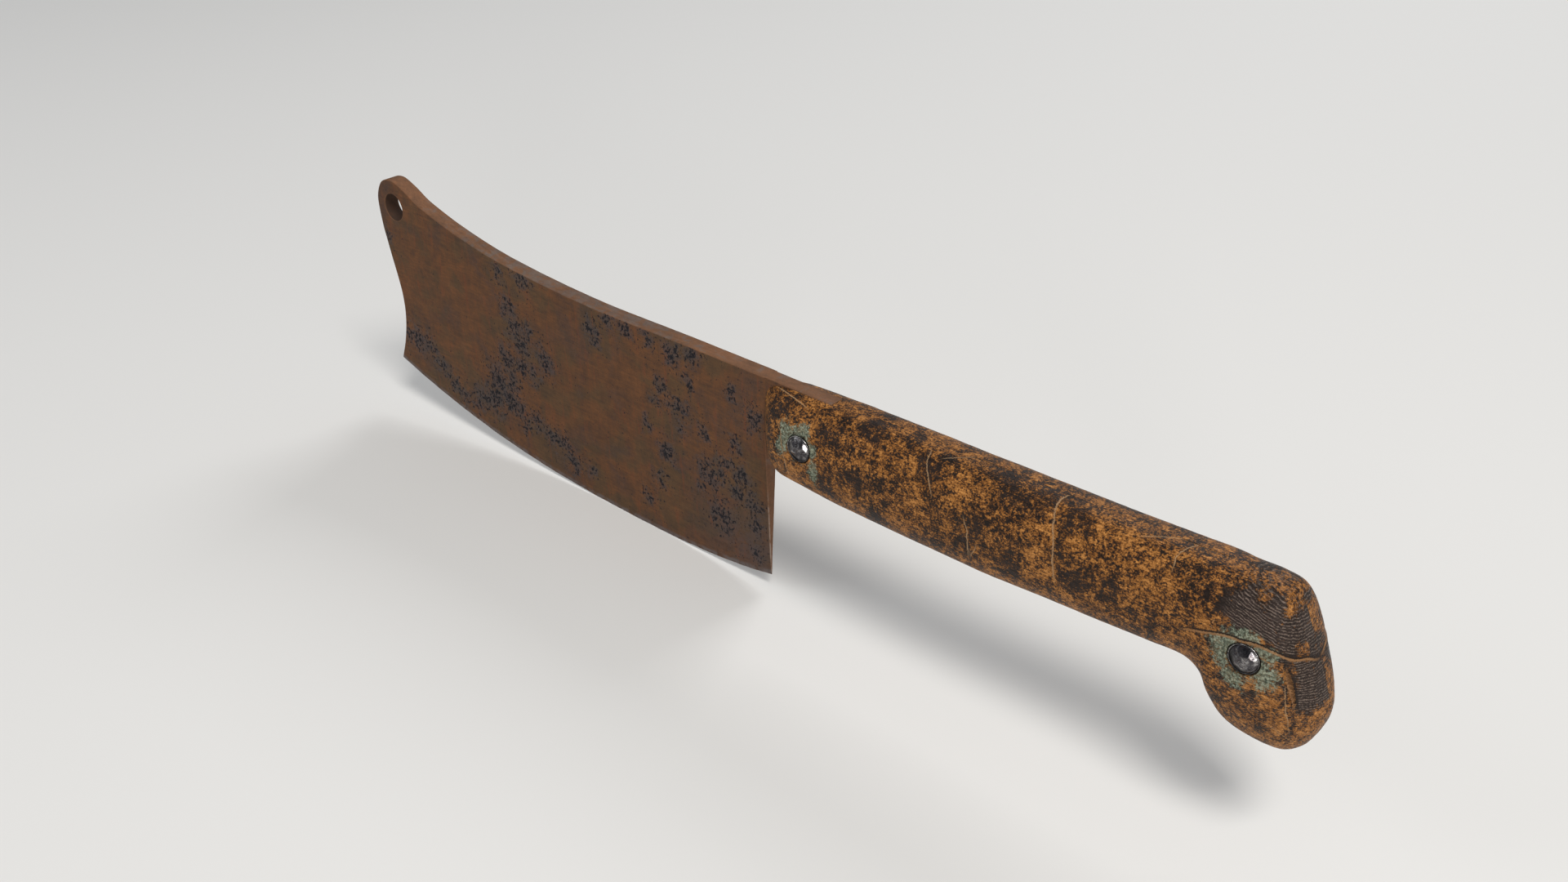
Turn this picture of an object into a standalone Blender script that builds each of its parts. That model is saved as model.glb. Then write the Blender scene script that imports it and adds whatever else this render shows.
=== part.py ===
"""Meat cleaver: a forged blade with a full tang, two wooden scales and two cutler's rivets.

Lengths are in metres.  The layout is drawn from the heel point, where the spine meets the rear
end of the blade: X runs along the cleaver towards the butt, Y across its thickness and Z up
towards the spine.  One empty then moves everything so that the frame's origin is the centre of
the cleaver's bounding box.
"""
import math

import bmesh
import bpy
import numpy

MM = 0.001

# Driving dimensions of the blade.
BLADE_THICKNESS = 5.5 * MM
EDGE_THICKNESS = 0.4 * MM
GRIND_HEIGHT = 53.0 * MM          # the blade thins over this height above its edge
EDGE_LOW_X = -60.0 * MM           # where the curved edge is lowest
EDGE_LOW_Z = -73.8 * MM
TOE_X = -181.8 * MM
TOE_RISE = 17.2 * MM              # how far the edge climbs from its lowest point to the toe
TOE_POWER = 2.3
HEEL_RISE = 5.0 * MM              # and from its lowest point to the heel
HEEL_POWER = 2.6
HORN_TOP = 15.2 * MM
HANG_HOLE = (-171.1 * MM, 5.4 * MM)
HANG_HOLE_RADIUS = 4.7 * MM

# The tang, a little thinner than the blade, so that a small step shows at the heel.
TANG_THICKNESS = 4.9 * MM
TANG_END_X = 161.0 * MM
TANG_FLUSH_X = 24.0 * MM          # the tang's top edge is bare as far as this
TANG_DROP = (27.0 * MM, -2.6 * MM)
TANG_SHOULDER_X = 156.0 * MM      # from here the tang's end tapers to TANG_END_X
TANG_SHOULDERS = (-8.0 * MM, -21.5 * MM)
TANG_END = (-11.0 * MM, -18.5 * MM)
TANG_ROOT_Z = -18.0 * MM
TANG_OVERLAP = 4.0 * MM           # how far the tang's blank runs into the blade

# Driving dimensions of the handle.
HANDLE_FRONT_X = 0.3 * MM
HANDLE_END_X = 171.0 * MM
HANDLE_HALF_WIDTH = 11.0 * MM
HANDLE_SQUARENESS = 2.6           # exponent of the super-ellipse that each section is
NECK_SQUARENESS = 2.15            # the neck is rounder, and squares up over NECK_SPAN
NECK_SPAN = (12.0 * MM, 32.0 * MM)
NOSE_END_X = 12.0 * MM
GRIP_SPAN = (22.0 * MM, 130.0 * MM)
POMMEL_SPAN = (135.0 * MM, 163.0 * MM)
BUTT_DEPTH = 6.0 * MM
RING_POINTS = 36

# Rivets.
RIVETS = {"front": (19.7 * MM, -12.1 * MM), "rear": (153.1 * MM, -14.7 * MM)}
HEAD_RADIUS = 4.0 * MM
HEAD_RIM = 0.4 * MM
DOME_HEIGHT = 1.5 * MM
HEAD_SINK = 0.9 * MM              # depth of the counterbore that the head sits in
SHANK_RADIUS = 2.0 * MM
SHANK_LENGTH = 16.5 * MM
BARREL_RADIUS = 2.8 * MM
BARREL_LENGTH = 15.0 * MM
BARREL_FLOOR = 1.2 * MM
TURNED_STEPS = 24

GAP = 0.3 * MM                    # clearance between pieces that touch
PAST = 5.0 * MM                   # how far a cutter runs past what it cuts
MERGE = 0.01 * MM

# Side outline of the blade from the heel point, along the spine, round the horn and down the
# front to the toe.
FRONT_OUTLINE = [(x * MM, z * MM) for x, z in (
    (0.0, 0.0), (-35.0, -0.4), (-75.0, -1.0), (-114.0, 1.1), (-138.0, 4.8), (-157.0, 9.8),
    (-165.0, 13.5), (-171.0, 15.2), (-176.6, 13.4), (-179.6, 8.4), (-179.8, 2.5),
    (-177.3, -12.5), (-174.7, -27.0), (-174.9, -36.0), (-177.4, -46.0), (-181.8, -56.6))]

# Side outlines of the handle and its half width, each as height or width over X.
HANDLE_TOP = [(x * MM, z * MM) for x, z in (
    (0.3, -1.6), (5.0, -0.6), (13.0, -0.1), (30.0, 0.0), (75.0, 0.7), (117.0, 1.5), (146.0, 2.5),
    (153.0, 2.7), (158.0, 1.6), (161.2, -2.6), (165.0, -11.0), (168.6, -19.0), (171.0, -26.0))]
HANDLE_BOTTOM = [(x * MM, z * MM) for x, z in (
    (0.3, -20.0), (3.0, -26.0), (6.0, -28.2), (11.0, -29.0), (75.0, -29.2), (105.0, -27.8),
    (128.0, -26.6), (137.5, -26.2), (142.0, -28.6), (145.2, -34.5), (149.5, -38.8),
    (155.5, -40.5), (163.0, -40.5), (167.6, -37.4), (170.2, -31.5), (171.0, -27.0))]
HANDLE_SIDE = [(x * MM, y * MM) for x, y in (
    (0.3, 3.1), (5.0, 7.9), (7.5, 9.8), (10.5, 10.8), (20.0, 11.0), (75.0, 11.0), (130.0, 10.8),
    (145.0, 11.2), (157.0, 11.1), (163.0, 9.8), (167.0, 7.6), (170.0, 4.0), (171.0, 0.6))]


def clear_scene():
    """Remove every object, so that the file holds the cleaver alone."""
    for obj in list(bpy.data.objects):
        bpy.data.objects.remove(obj, do_unlink=True)


def make_collection(name):
    """Return a new collection linked to the scene."""
    group = bpy.data.collections.new(name)
    bpy.context.scene.collection.children.link(group)
    return group


def make_material(name, colour, metallic, roughness):
    """Return a Principled material."""
    material = bpy.data.materials.new(name)
    material.use_nodes = True
    shader = material.node_tree.nodes["Principled BSDF"]
    shader.inputs["Base Color"].default_value = (*colour, 1.0)
    shader.inputs["Metallic"].default_value = metallic
    shader.inputs["Roughness"].default_value = roughness
    return material


def smooth_line(points, steps=4):
    """Return a Catmull-Rom curve through the points, with steps stretches between each two."""
    knots = [numpy.array(point) for point in points]
    knots = [2 * knots[0] - knots[1]] + knots + [2 * knots[-1] - knots[-2]]
    line = []
    for before, start, end, after in zip(knots, knots[1:], knots[2:], knots[3:]):
        span = numpy.linalg.norm(end - start)
        leave = (end - before) * span / (numpy.linalg.norm(start - before) + span)
        arrive = (after - start) * span / (numpy.linalg.norm(after - end) + span)
        for step in range(steps):
            t = step / steps
            line.append((2 * t**3 - 3 * t**2 + 1) * start + (t**3 - 2 * t**2 + t) * leave
                        + (3 * t**2 - 2 * t**3) * end + (t**3 - t**2) * arrive)
    line.append(knots[-2])
    return [tuple(float(value) for value in point) for point in line]


def height_at(points, x):
    """Return the smooth curve's second coordinate at the first coordinate x."""
    line = smooth_line(points)
    return float(numpy.interp(x, [p[0] for p in line], [p[1] for p in line]))


def edge_height(x):
    """Return the height of the cutting edge, a shallow belly, at x."""
    if x < EDGE_LOW_X:
        share = (EDGE_LOW_X - x) / (EDGE_LOW_X - TOE_X)
        return EDGE_LOW_Z + TOE_RISE * share**TOE_POWER
    share = (x - EDGE_LOW_X) / -EDGE_LOW_X
    return EDGE_LOW_Z + HEEL_RISE * share**HEEL_POWER


def add_mesh(name, mesh, group, parent):
    """Put a mesh in the scene under the frame's empty."""
    obj = bpy.data.objects.new(name, mesh)
    group.objects.link(obj)
    obj.parent = parent
    return obj


def plate(name, outline, thickness, group, parent):
    """Return a flat plate, the outline in X and Z with its thickness across Y."""
    curve = bpy.data.curves.new(name + "_outline", "CURVE")
    curve.dimensions = "2D"
    curve.fill_mode = "BOTH"
    curve.extrude = thickness / 2
    spline = curve.splines.new("POLY")
    spline.points.add(len(outline) - 1)
    for point, (x, z) in zip(spline.points, outline):
        point.co = (x, z, 0.0, 1.0)
    spline.use_cyclic_u = True
    guide = bpy.data.objects.new(name + "_outline", curve)
    group.objects.link(guide)
    bpy.context.view_layer.update()
    mesh = bpy.data.meshes.new_from_object(guide.evaluated_get(bpy.context.evaluated_depsgraph_get()))
    bpy.data.objects.remove(guide, do_unlink=True)
    shape = bmesh.new()
    shape.from_mesh(mesh)
    bmesh.ops.remove_doubles(shape, verts=shape.verts, dist=MERGE)
    bmesh.ops.recalc_face_normals(shape, faces=shape.faces)
    shape.to_mesh(mesh)
    shape.free()
    obj = add_mesh(name, mesh, group, parent)
    obj.rotation_euler = (math.pi / 2, 0.0, 0.0)
    return obj


def loft(name, rings, group, parent):
    """Return a closed body that passes through the rings, each a loop of points."""
    shape = bmesh.new()
    loops = [[shape.verts.new(point) for point in ring] for ring in rings]
    for near, far in zip(loops, loops[1:]):
        for index in range(len(near)):
            follow = (index + 1) % len(near)
            shape.faces.new((near[index], near[follow], far[follow], far[index]))
    shape.faces.new(reversed(loops[0]))
    shape.faces.new(loops[-1])
    bmesh.ops.recalc_face_normals(shape, faces=shape.faces)
    mesh = bpy.data.meshes.new(name)
    shape.to_mesh(mesh)
    shape.free()
    return add_mesh(name, mesh, group, parent)


def box(name, low, high, group, parent):
    """Return a box between two corners."""
    shape = bmesh.new()
    bmesh.ops.create_cube(shape, size=1.0)
    for vert in shape.verts:
        vert.co = [(a + b) / 2 + (b - a) * c for a, b, c in zip(low, high, vert.co)]
    mesh = bpy.data.meshes.new(name)
    shape.to_mesh(mesh)
    shape.free()
    return add_mesh(name, mesh, group, parent)


def cross_drill(name, place, radius, low_y, high_y, group, parent):
    """Return a cylinder across Y at an X and Z place, for drilling."""
    shape = bmesh.new()
    bmesh.ops.create_cone(shape, cap_ends=True, segments=TURNED_STEPS, radius1=radius,
                          radius2=radius, depth=high_y - low_y)
    mesh = bpy.data.meshes.new(name)
    shape.to_mesh(mesh)
    shape.free()
    obj = add_mesh(name, mesh, group, parent)
    obj.rotation_euler = (math.pi / 2, 0.0, 0.0)
    obj.location = (place[0], (low_y + high_y) / 2, place[1])
    return obj


def combine(target, tool, operation):
    """Cut, join or intersect the target with a tool object."""
    boolean = target.modifiers.new(tool.name, "BOOLEAN")
    boolean.operation = operation
    boolean.solver = "EXACT"
    boolean.object = tool


def hide_tools(group):
    """Keep the tools out of renders and draw them as wires."""
    for obj in group.objects:
        obj.hide_render = True
        obj.display_type = "WIRE"


def finish_piece(obj, material, smooth_angle):
    """Give a piece its material and shade its round faces smooth."""
    obj.data.materials.clear()
    obj.data.materials.append(material)
    obj.data.shade_smooth()
    obj.data.set_sharp_from_angle(angle=math.radians(smooth_angle))


def tang_outline(clearance):
    """Return the tang's side outline, grown by a clearance.

    The top edge is flush with the wood's back as far as TANG_FLUSH_X, then drops under it.
    """
    bare_top = PAST if clearance else 0.0
    end_x = TANG_END_X + clearance
    return [
        (-TANG_OVERLAP, bare_top),
        (TANG_FLUSH_X + clearance, bare_top),
        (TANG_DROP[0] + clearance, TANG_DROP[1] + clearance),
        (TANG_SHOULDER_X, TANG_SHOULDERS[0] + clearance),
        (end_x, TANG_END[0]),
        (end_x, TANG_END[1]),
        (TANG_SHOULDER_X, TANG_SHOULDERS[1] - clearance),
        (-TANG_OVERLAP, TANG_ROOT_Z - clearance),
    ]


def blade_outline():
    """Return the blank's outline; below, it runs past the edge that the grind gives it."""
    floor = EDGE_LOW_Z - PAST
    outline = smooth_line(FRONT_OUTLINE)
    toe_x, toe_z = outline[-1]
    return outline + [(toe_x - 2.0 * MM, toe_z - 4.0 * MM), (toe_x - 2.0 * MM, floor), (0.0, floor)]


def grind_rings():
    """Return the sections that the ground blade fits in, from before the toe to past the heel."""
    rings = []
    full = BLADE_THICKNESS / 2
    for x in numpy.linspace(TOE_X - 4.0 * MM, 2.0 * MM, 26):
        edge = edge_height(x)
        start = edge + GRIND_HEIGHT
        top = HORN_TOP + PAST
        rings.append([(x, full, top), (x, full, start), (x, EDGE_THICKNESS / 2, edge),
                      (x, -EDGE_THICKNESS / 2, edge), (x, -full, start), (x, -full, top)])
    return rings


def build_blade(parts, tools, frame, steel):
    """The blade: a ground plate with a horn, a hanging hole and a tang drilled for the rivets."""
    blade = plate("blade", blade_outline(), BLADE_THICKNESS, parts, frame)
    grind = loft("blade_grind", grind_rings(), tools, frame)
    tang = plate("tang_blank", tang_outline(0.0), TANG_THICKNESS, tools, frame)
    hole = cross_drill("hang_hole_drill", HANG_HOLE, HANG_HOLE_RADIUS, -PAST, PAST, tools, frame)
    combine(blade, grind, "INTERSECT")
    combine(blade, tang, "UNION")
    combine(blade, hole, "DIFFERENCE")
    for place_name, place in RIVETS.items():
        drill = cross_drill(place_name + "_tang_drill", place, BARREL_RADIUS + GAP, -PAST, PAST,
                            tools, frame)
        combine(blade, drill, "DIFFERENCE")
    finish_piece(blade, steel, 30.0)


def handle_rings():
    """Return the handle's sections, closer together at the nose and the pommel."""
    nose = numpy.linspace(HANDLE_FRONT_X, NOSE_END_X, 7)
    grip = numpy.linspace(*GRIP_SPAN, 7)
    pommel = numpy.linspace(*POMMEL_SPAN, 11)
    butt = HANDLE_END_X - BUTT_DEPTH * numpy.cos(numpy.linspace(0.0, math.pi / 2, 7))
    rings = []
    for x in numpy.concatenate((nose, grip, pommel, butt)):
        top = height_at(HANDLE_TOP, x)
        bottom = height_at(HANDLE_BOTTOM, x)
        half_width = height_at(HANDLE_SIDE, x)
        power = 2 / float(numpy.interp(x, NECK_SPAN, (NECK_SQUARENESS, HANDLE_SQUARENESS)))
        ring = []
        for index in range(RING_POINTS):
            turn = 2 * math.pi * index / RING_POINTS
            across = math.copysign(abs(math.cos(turn)) ** power, math.cos(turn))
            upward = math.copysign(abs(math.sin(turn)) ** power, math.sin(turn))
            ring.append((x, half_width * across, (top + bottom) / 2 + (top - bottom) / 2 * upward))
        rings.append(ring)
    return rings


def build_scale(name, side, parts, tools, frame, wood):
    """One wooden scale: its half of the handle, hollowed for the tang and bored for the rivets.

    side is -1 for the near scale and 1 for the far one.
    """
    scale = loft(name, handle_rings(), parts, frame)
    reach = HANDLE_HALF_WIDTH + PAST
    joint = side * GAP / 2
    other = sorted((joint, -side * reach))
    half_box = box(name + "_split", (-PAST, other[0], EDGE_LOW_Z),
                   (HANDLE_END_X + PAST, other[1], HORN_TOP), tools, frame)
    combine(scale, half_box, "DIFFERENCE")
    recess = plate(name + "_recess", tang_outline(GAP), TANG_THICKNESS + 2 * GAP, tools, frame)
    combine(scale, recess, "DIFFERENCE")
    seat = side * (HANDLE_HALF_WIDTH - HEAD_SINK)
    for place_name, place in RIVETS.items():
        bore = cross_drill(f"{name}_{place_name}_bore", place, BARREL_RADIUS + GAP, -reach, reach,
                           tools, frame)
        sink_y = sorted((seat, side * reach))
        sink = cross_drill(f"{name}_{place_name}_counterbore", place, HEAD_RADIUS + GAP,
                           sink_y[0], sink_y[1], tools, frame)
        combine(scale, bore, "DIFFERENCE")
        combine(scale, sink, "DIFFERENCE")
    finish_piece(scale, wood, 35.0)


def head_profile():
    """Return the outer side of a domed rivet head, from its crown to its rim's underside.

    The underside is at height 0, and the profile is radius and height.
    """
    crown = HEAD_RIM + DOME_HEIGHT
    sphere = (HEAD_RADIUS**2 + DOME_HEIGHT**2) / (2 * DOME_HEIGHT)
    half_angle = math.asin(HEAD_RADIUS / sphere)
    arc = [half_angle * step / 5 for step in range(6)]
    dome = [(sphere * math.sin(a), crown - sphere * (1 - math.cos(a))) for a in arc]
    return dome + [(HEAD_RADIUS, 0.0)]


def turned(name, profile, parts, frame, place, side, metal):
    """Turn a profile of radius and height into a piece that lies across Y, head outwards."""
    mesh = bpy.data.meshes.new(name)
    edges = [(index, index + 1) for index in range(len(profile) - 1)]
    mesh.from_pydata([(radius, 0.0, height) for radius, height in profile], edges, [])
    obj = add_mesh(name, mesh, parts, frame)
    screw = obj.modifiers.new("turn", "SCREW")
    screw.axis = "Z"
    screw.steps = TURNED_STEPS
    screw.render_steps = TURNED_STEPS
    screw.use_merge_vertices = True
    screw.merge_threshold = MERGE
    screw.use_smooth_shade = True
    seat = side * (HANDLE_HALF_WIDTH - HEAD_SINK + GAP)
    obj.location = (place[0], seat, place[1])
    obj.rotation_euler = (-side * math.pi / 2, 0.0, 0.0)
    obj.data.materials.append(metal)
    return obj


def build_rivet(place_name, place, parts, frame, metal):
    """A cutler's rivet: a headed shank from the far side, in a headed barrel from the near one."""
    shank = head_profile() + [(SHANK_RADIUS, 0.0), (SHANK_RADIUS, -SHANK_LENGTH + GAP),
                              (SHANK_RADIUS - GAP, -SHANK_LENGTH), (0.0, -SHANK_LENGTH)]
    turned(place_name + "_rivet_shank", shank, parts, frame, place, 1, metal)
    bore = SHANK_RADIUS + GAP
    barrel = head_profile() + [(BARREL_RADIUS, 0.0), (BARREL_RADIUS, -BARREL_LENGTH),
                               (bore, -BARREL_LENGTH), (bore, -BARREL_FLOOR),
                               (0.0, -BARREL_FLOOR)]
    turned(place_name + "_rivet_barrel", barrel, parts, frame, place, -1, metal)


def build_cleaver():
    """Build every piece."""
    clear_scene()
    parts = make_collection("meat_cleaver")
    tools = make_collection("cutters")
    frame = bpy.data.objects.new("cleaver_frame", None)
    parts.objects.link(frame)
    frame.location = (-(TOE_X + HANDLE_END_X) / 2, 0.0, -(EDGE_LOW_Z + HORN_TOP) / 2)
    steel = make_material("rusted_steel", (0.20, 0.10, 0.065), 0.55, 0.55)
    wood = make_material("mottled_wood", (0.32, 0.14, 0.045), 0.0, 0.5)
    metal = make_material("nickel_silver", (0.30, 0.29, 0.30), 1.0, 0.3)
    build_blade(parts, tools, frame, steel)
    build_scale("near_scale", -1, parts, tools, frame, wood)
    build_scale("far_scale", 1, parts, tools, frame, wood)
    for place_name, place in RIVETS.items():
        build_rivet(place_name, place, parts, frame, metal)
    hide_tools(tools)


build_cleaver()
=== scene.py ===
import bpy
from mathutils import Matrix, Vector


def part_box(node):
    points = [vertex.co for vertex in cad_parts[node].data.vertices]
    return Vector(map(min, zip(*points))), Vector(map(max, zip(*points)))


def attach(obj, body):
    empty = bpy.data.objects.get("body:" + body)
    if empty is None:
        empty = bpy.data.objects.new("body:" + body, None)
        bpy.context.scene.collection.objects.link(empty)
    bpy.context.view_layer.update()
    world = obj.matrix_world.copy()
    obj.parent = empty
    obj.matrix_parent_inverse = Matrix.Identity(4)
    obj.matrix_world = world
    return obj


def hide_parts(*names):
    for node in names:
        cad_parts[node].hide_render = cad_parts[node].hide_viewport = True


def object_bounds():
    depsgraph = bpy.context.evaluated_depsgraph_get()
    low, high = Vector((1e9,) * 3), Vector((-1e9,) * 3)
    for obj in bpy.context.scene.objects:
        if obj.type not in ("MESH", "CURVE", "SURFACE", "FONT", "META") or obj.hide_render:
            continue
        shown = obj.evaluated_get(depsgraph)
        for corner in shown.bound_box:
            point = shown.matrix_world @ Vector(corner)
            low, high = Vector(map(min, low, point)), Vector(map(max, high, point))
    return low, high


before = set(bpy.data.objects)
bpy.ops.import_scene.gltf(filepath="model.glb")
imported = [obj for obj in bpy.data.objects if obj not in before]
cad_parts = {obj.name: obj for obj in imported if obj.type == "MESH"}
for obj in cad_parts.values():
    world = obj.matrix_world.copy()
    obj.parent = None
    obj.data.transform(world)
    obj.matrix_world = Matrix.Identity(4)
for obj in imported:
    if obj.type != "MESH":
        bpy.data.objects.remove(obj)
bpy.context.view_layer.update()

# An old meat cleaver: a rusted, pitted blade, two mottled wooden scales and four domed rivet
# halves, on a pale floor.  Every size below is in millimetres from the heel point, where the
# spine meets the rear end of the blade; place() turns it into the frame's metres.

import math
import random

import bpy
import numpy as np
from mathutils import Vector, noise
from mathutils.bvhtree import BVHTree
from mathutils.geometry import delaunay_2d_cdt
from mathutils.kdtree import KDTree

MM = 0.001
GAP = 0.3

# The blade, as in the CAD model.
FULL_HALF = 2.75
EDGE_HALF = 0.2
GRIND_HEIGHT = 53.0
EDGE_LOW = (-60.0, -73.8)
TOE_X = -181.8
TOE_RISE = 17.2
TOE_POWER = 2.3
HEEL_RISE = 5.0
HEEL_POWER = 2.6
HORN_TOP = 15.2
HANG_HOLE = (-171.1, 5.4)
HANG_HOLE_RADIUS = 4.7
FRONT_OUTLINE = (
    (0.0, 0.0), (-35.0, -0.4), (-75.0, -1.0), (-114.0, 1.1), (-138.0, 4.8), (-157.0, 9.8),
    (-165.0, 13.5), (-171.0, 15.2), (-176.6, 13.4), (-179.6, 8.4), (-179.8, 2.5),
    (-177.3, -12.5), (-174.7, -27.0), (-174.9, -36.0), (-177.4, -46.0), (-181.8, -56.6))

# The tang.
TANG_HALF = 2.45
TANG_FLUSH_X = 24.0
TANG_END_X = 161.0
TANG_OUTLINE = ((0.0, -18.0), (156.0, -21.5), (161.0, -18.5), (161.0, -11.0), (156.0, -8.0),
                (27.0, -2.6), (24.0, 0.0), (0.0, 0.0))

# The handle.
HANDLE_FRONT_X = 0.3
HANDLE_END_X = 171.0
HANDLE_HALF_WIDTH = 11.0
HANDLE_SQUARENESS = 2.6
NECK_SQUARENESS = 2.15
NECK_SPAN = (12.0, 32.0)
HANDLE_TOP = (
    (0.3, -1.6), (5.0, -0.6), (13.0, -0.1), (30.0, 0.0), (75.0, 0.7), (117.0, 1.5), (146.0, 2.5),
    (153.0, 2.7), (158.0, 1.6), (161.2, -2.6), (165.0, -11.0), (168.6, -19.0), (171.0, -26.0))
HANDLE_BOTTOM = (
    (0.3, -20.0), (3.0, -26.0), (6.0, -28.2), (11.0, -29.0), (75.0, -29.2), (105.0, -27.8),
    (128.0, -26.6), (137.5, -26.2), (142.0, -28.6), (145.2, -34.5), (149.5, -38.8),
    (155.5, -40.5), (163.0, -40.5), (167.6, -37.4), (170.2, -31.5), (171.0, -27.0))
HANDLE_SIDE = (
    (0.3, 3.1), (5.0, 7.9), (7.5, 9.8), (10.5, 10.8), (20.0, 11.0), (75.0, 11.0), (130.0, 10.8),
    (145.0, 11.2), (157.0, 11.1), (163.0, 9.8), (167.0, 7.6), (170.0, 4.0), (171.0, 0.6))

# The rivets.
RIVETS = {"front": (19.7, -12.1), "rear": (153.1, -14.7)}
HEAD_RADIUS = 4.0
HEAD_RIM = 0.4
DOME_HEIGHT = 1.5
HEAD_SINK = 0.9
SHANK_RADIUS = 2.0
SHANK_LENGTH = 16.5
BARREL_RADIUS = 2.8
BARREL_LENGTH = 15.0

# The camera, placed from the heel point.
CAMERA_FROM_HEEL = (260.4, -287.8, 204.9)
CAMERA_AZIMUTH = 41.6
CAMERA_ELEVATION = 30.3
CAMERA_LENS = 35.74

HEEL = Vector((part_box("near_scale")[0][0] - GAP * MM, 0.0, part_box("blade")[1][2] - HORN_TOP * MM))


def place(point):
    """Turn a point in millimetres from the heel point into the frame's metres."""
    return HEEL + Vector(point) * MM


# ---------------------------------------------------------------- shapes

def smooth_line(points, steps=24):
    """Return a Catmull-Rom curve through the points, as in the CAD model."""
    knots = [np.array(point) for point in points]
    knots = [2 * knots[0] - knots[1]] + knots + [2 * knots[-1] - knots[-2]]
    line = []
    for before, start, end, after in zip(knots, knots[1:], knots[2:], knots[3:]):
        span = np.linalg.norm(end - start)
        leave = (end - before) * span / (np.linalg.norm(start - before) + span)
        arrive = (after - start) * span / (np.linalg.norm(after - end) + span)
        for step in range(steps):
            t = step / steps
            line.append((2 * t**3 - 3 * t**2 + 1) * start + (t**3 - 2 * t**2 + t) * leave
                        + (3 * t**2 - 2 * t**3) * end + (t**3 - t**2) * arrive)
    line.append(knots[-2])
    return np.array(line)


def resample(points, spacing):
    """Return evenly spaced points along a line, its two ends kept."""
    points = np.asarray(points, float)
    steps = np.linalg.norm(np.diff(points, axis=0), axis=1)
    length = np.concatenate(([0.0], np.cumsum(steps)))
    count = max(1, round(length[-1] / spacing))
    along = np.linspace(0.0, length[-1], count + 1)
    return np.stack([np.interp(along, length, points[:, axis]) for axis in range(points.shape[1])], 1)


def joined(runs, spacing):
    """Return one closed loop from several runs, each evenly spaced, with its corners kept."""
    return np.concatenate([resample(run, spacing)[:-1] for run in runs])


def edge_height(x):
    """Return the height of the cutting edge at x, an array."""
    x = np.asarray(x, float)
    front = np.clip((EDGE_LOW[0] - x) / (EDGE_LOW[0] - TOE_X), 0.0, None)
    rear = np.clip((x - EDGE_LOW[0]) / -EDGE_LOW[0], 0.0, None)
    return EDGE_LOW[1] + TOE_RISE * front**TOE_POWER + HEEL_RISE * rear**HEEL_POWER


def blade_half(points):
    """Return half the thickness of the blade or tang at side-view points."""
    height = points[:, 1] - edge_height(points[:, 0])
    ground = EDGE_HALF + (FULL_HALF - EDGE_HALF) * np.clip(height / GRIND_HEIGHT, 0.0, 1.0)
    bevel = EDGE_TIP_HALF + EDGE_BEVEL_SLOPE * np.clip(height, 0.0, None)
    return np.where(points[:, 0] > 0.0, TANG_HALF, np.minimum(ground, bevel))


def inside(points, loop):
    """Tell which points lie inside a closed loop, by counting crossings."""
    crossings = np.zeros(len(points), int)
    for start, end in zip(loop, np.roll(loop, -1, axis=0)):
        spans = (start[1] > points[:, 1]) != (end[1] > points[:, 1])
        if abs(end[1] - start[1]) < 1e-9:
            continue
        cross_x = start[0] + (points[:, 1] - start[1]) * (end[0] - start[0]) / (end[1] - start[1])
        crossings += spans & (points[:, 0] < cross_x)
    return crossings % 2 == 1


def outward_normals(loop, is_hole):
    """Return the normals of a closed loop that point out of the material."""
    ahead = np.roll(loop, -1, axis=0) - loop
    ahead /= np.linalg.norm(ahead, axis=1)[:, None]
    behind = np.roll(ahead, 1, axis=0)
    turn = np.stack([(ahead + behind)[:, 1], -(ahead + behind)[:, 0]], 1)
    turn /= np.maximum(np.linalg.norm(turn, axis=1), 0.3)[:, None]
    area = np.sum(loop[:, 0] * np.roll(loop[:, 1], -1) - loop[:, 1] * np.roll(loop[:, 0], -1))
    sign = 1.0 if area > 0 else -1.0
    return turn * sign * (-1.0 if is_hole else 1.0)


def circle(centre, radius, count):
    """Return points on a circle in side view."""
    turn = np.arange(count) * 2 * math.pi / count
    return np.stack([centre[0] + radius * np.cos(turn), centre[1] + radius * np.sin(turn)], 1)


def noise_at(points, scale, seed, octaves=1):
    """Return smooth noise from about -1 to 1 at 3-D points; scale is per millimetre."""
    shift = Vector((seed * 17.3, seed * 5.1, seed * 9.7))
    if octaves == 1:
        return np.array([noise.noise(Vector(point) * scale + shift) for point in points])
    return np.array([noise.fractal(Vector(point) * scale + shift, 1.0, 2.0, octaves)
                     for point in points])


def make_object(name, verts, faces, angle):
    """Build an object from millimetre points, smooth but for its sharp edges."""
    mesh = bpy.data.meshes.new(name)
    mesh.from_pydata([place(vert) for vert in verts], [], faces)
    mesh.validate()
    mesh.shade_smooth()
    mesh.set_sharp_from_angle(angle=math.radians(angle))
    obj = bpy.data.objects.new(name, mesh)
    bpy.context.scene.collection.objects.link(obj)
    return obj


def add_attribute(obj, name, values):
    """Store one number per vertex for the materials."""
    layer = obj.data.attributes.new(name, "FLOAT", "POINT")
    layer.data.foreach_set("value", np.asarray(values, np.float32))


# ---------------------------------------------------------------- node helpers

def add_node(tree, kind, inputs, **settings):
    """Add a node, set its fields, and link or set its inputs."""
    node = tree.nodes.new(kind)
    for field, value in settings.items():
        setattr(node, field, value)
    for key, value in inputs.items():
        if isinstance(value, bpy.types.NodeSocket):
            tree.links.new(value, node.inputs[key])
        else:
            node.inputs[key].default_value = value
    return node


def coordinates(tree, stretch=(1.0, 1.0, 1.0), turn=(0.0, 0.0, 0.0)):
    """Return the object's own coordinates in millimetres, stretched and turned."""
    source = add_node(tree, "ShaderNodeTexCoord", {})
    scale = tuple(value / MM for value in stretch)
    mapping = add_node(tree, "ShaderNodeMapping", {"Vector": source.outputs["Object"], "Scale": scale,
                                                   "Rotation": turn})
    return mapping.outputs["Vector"]


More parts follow.
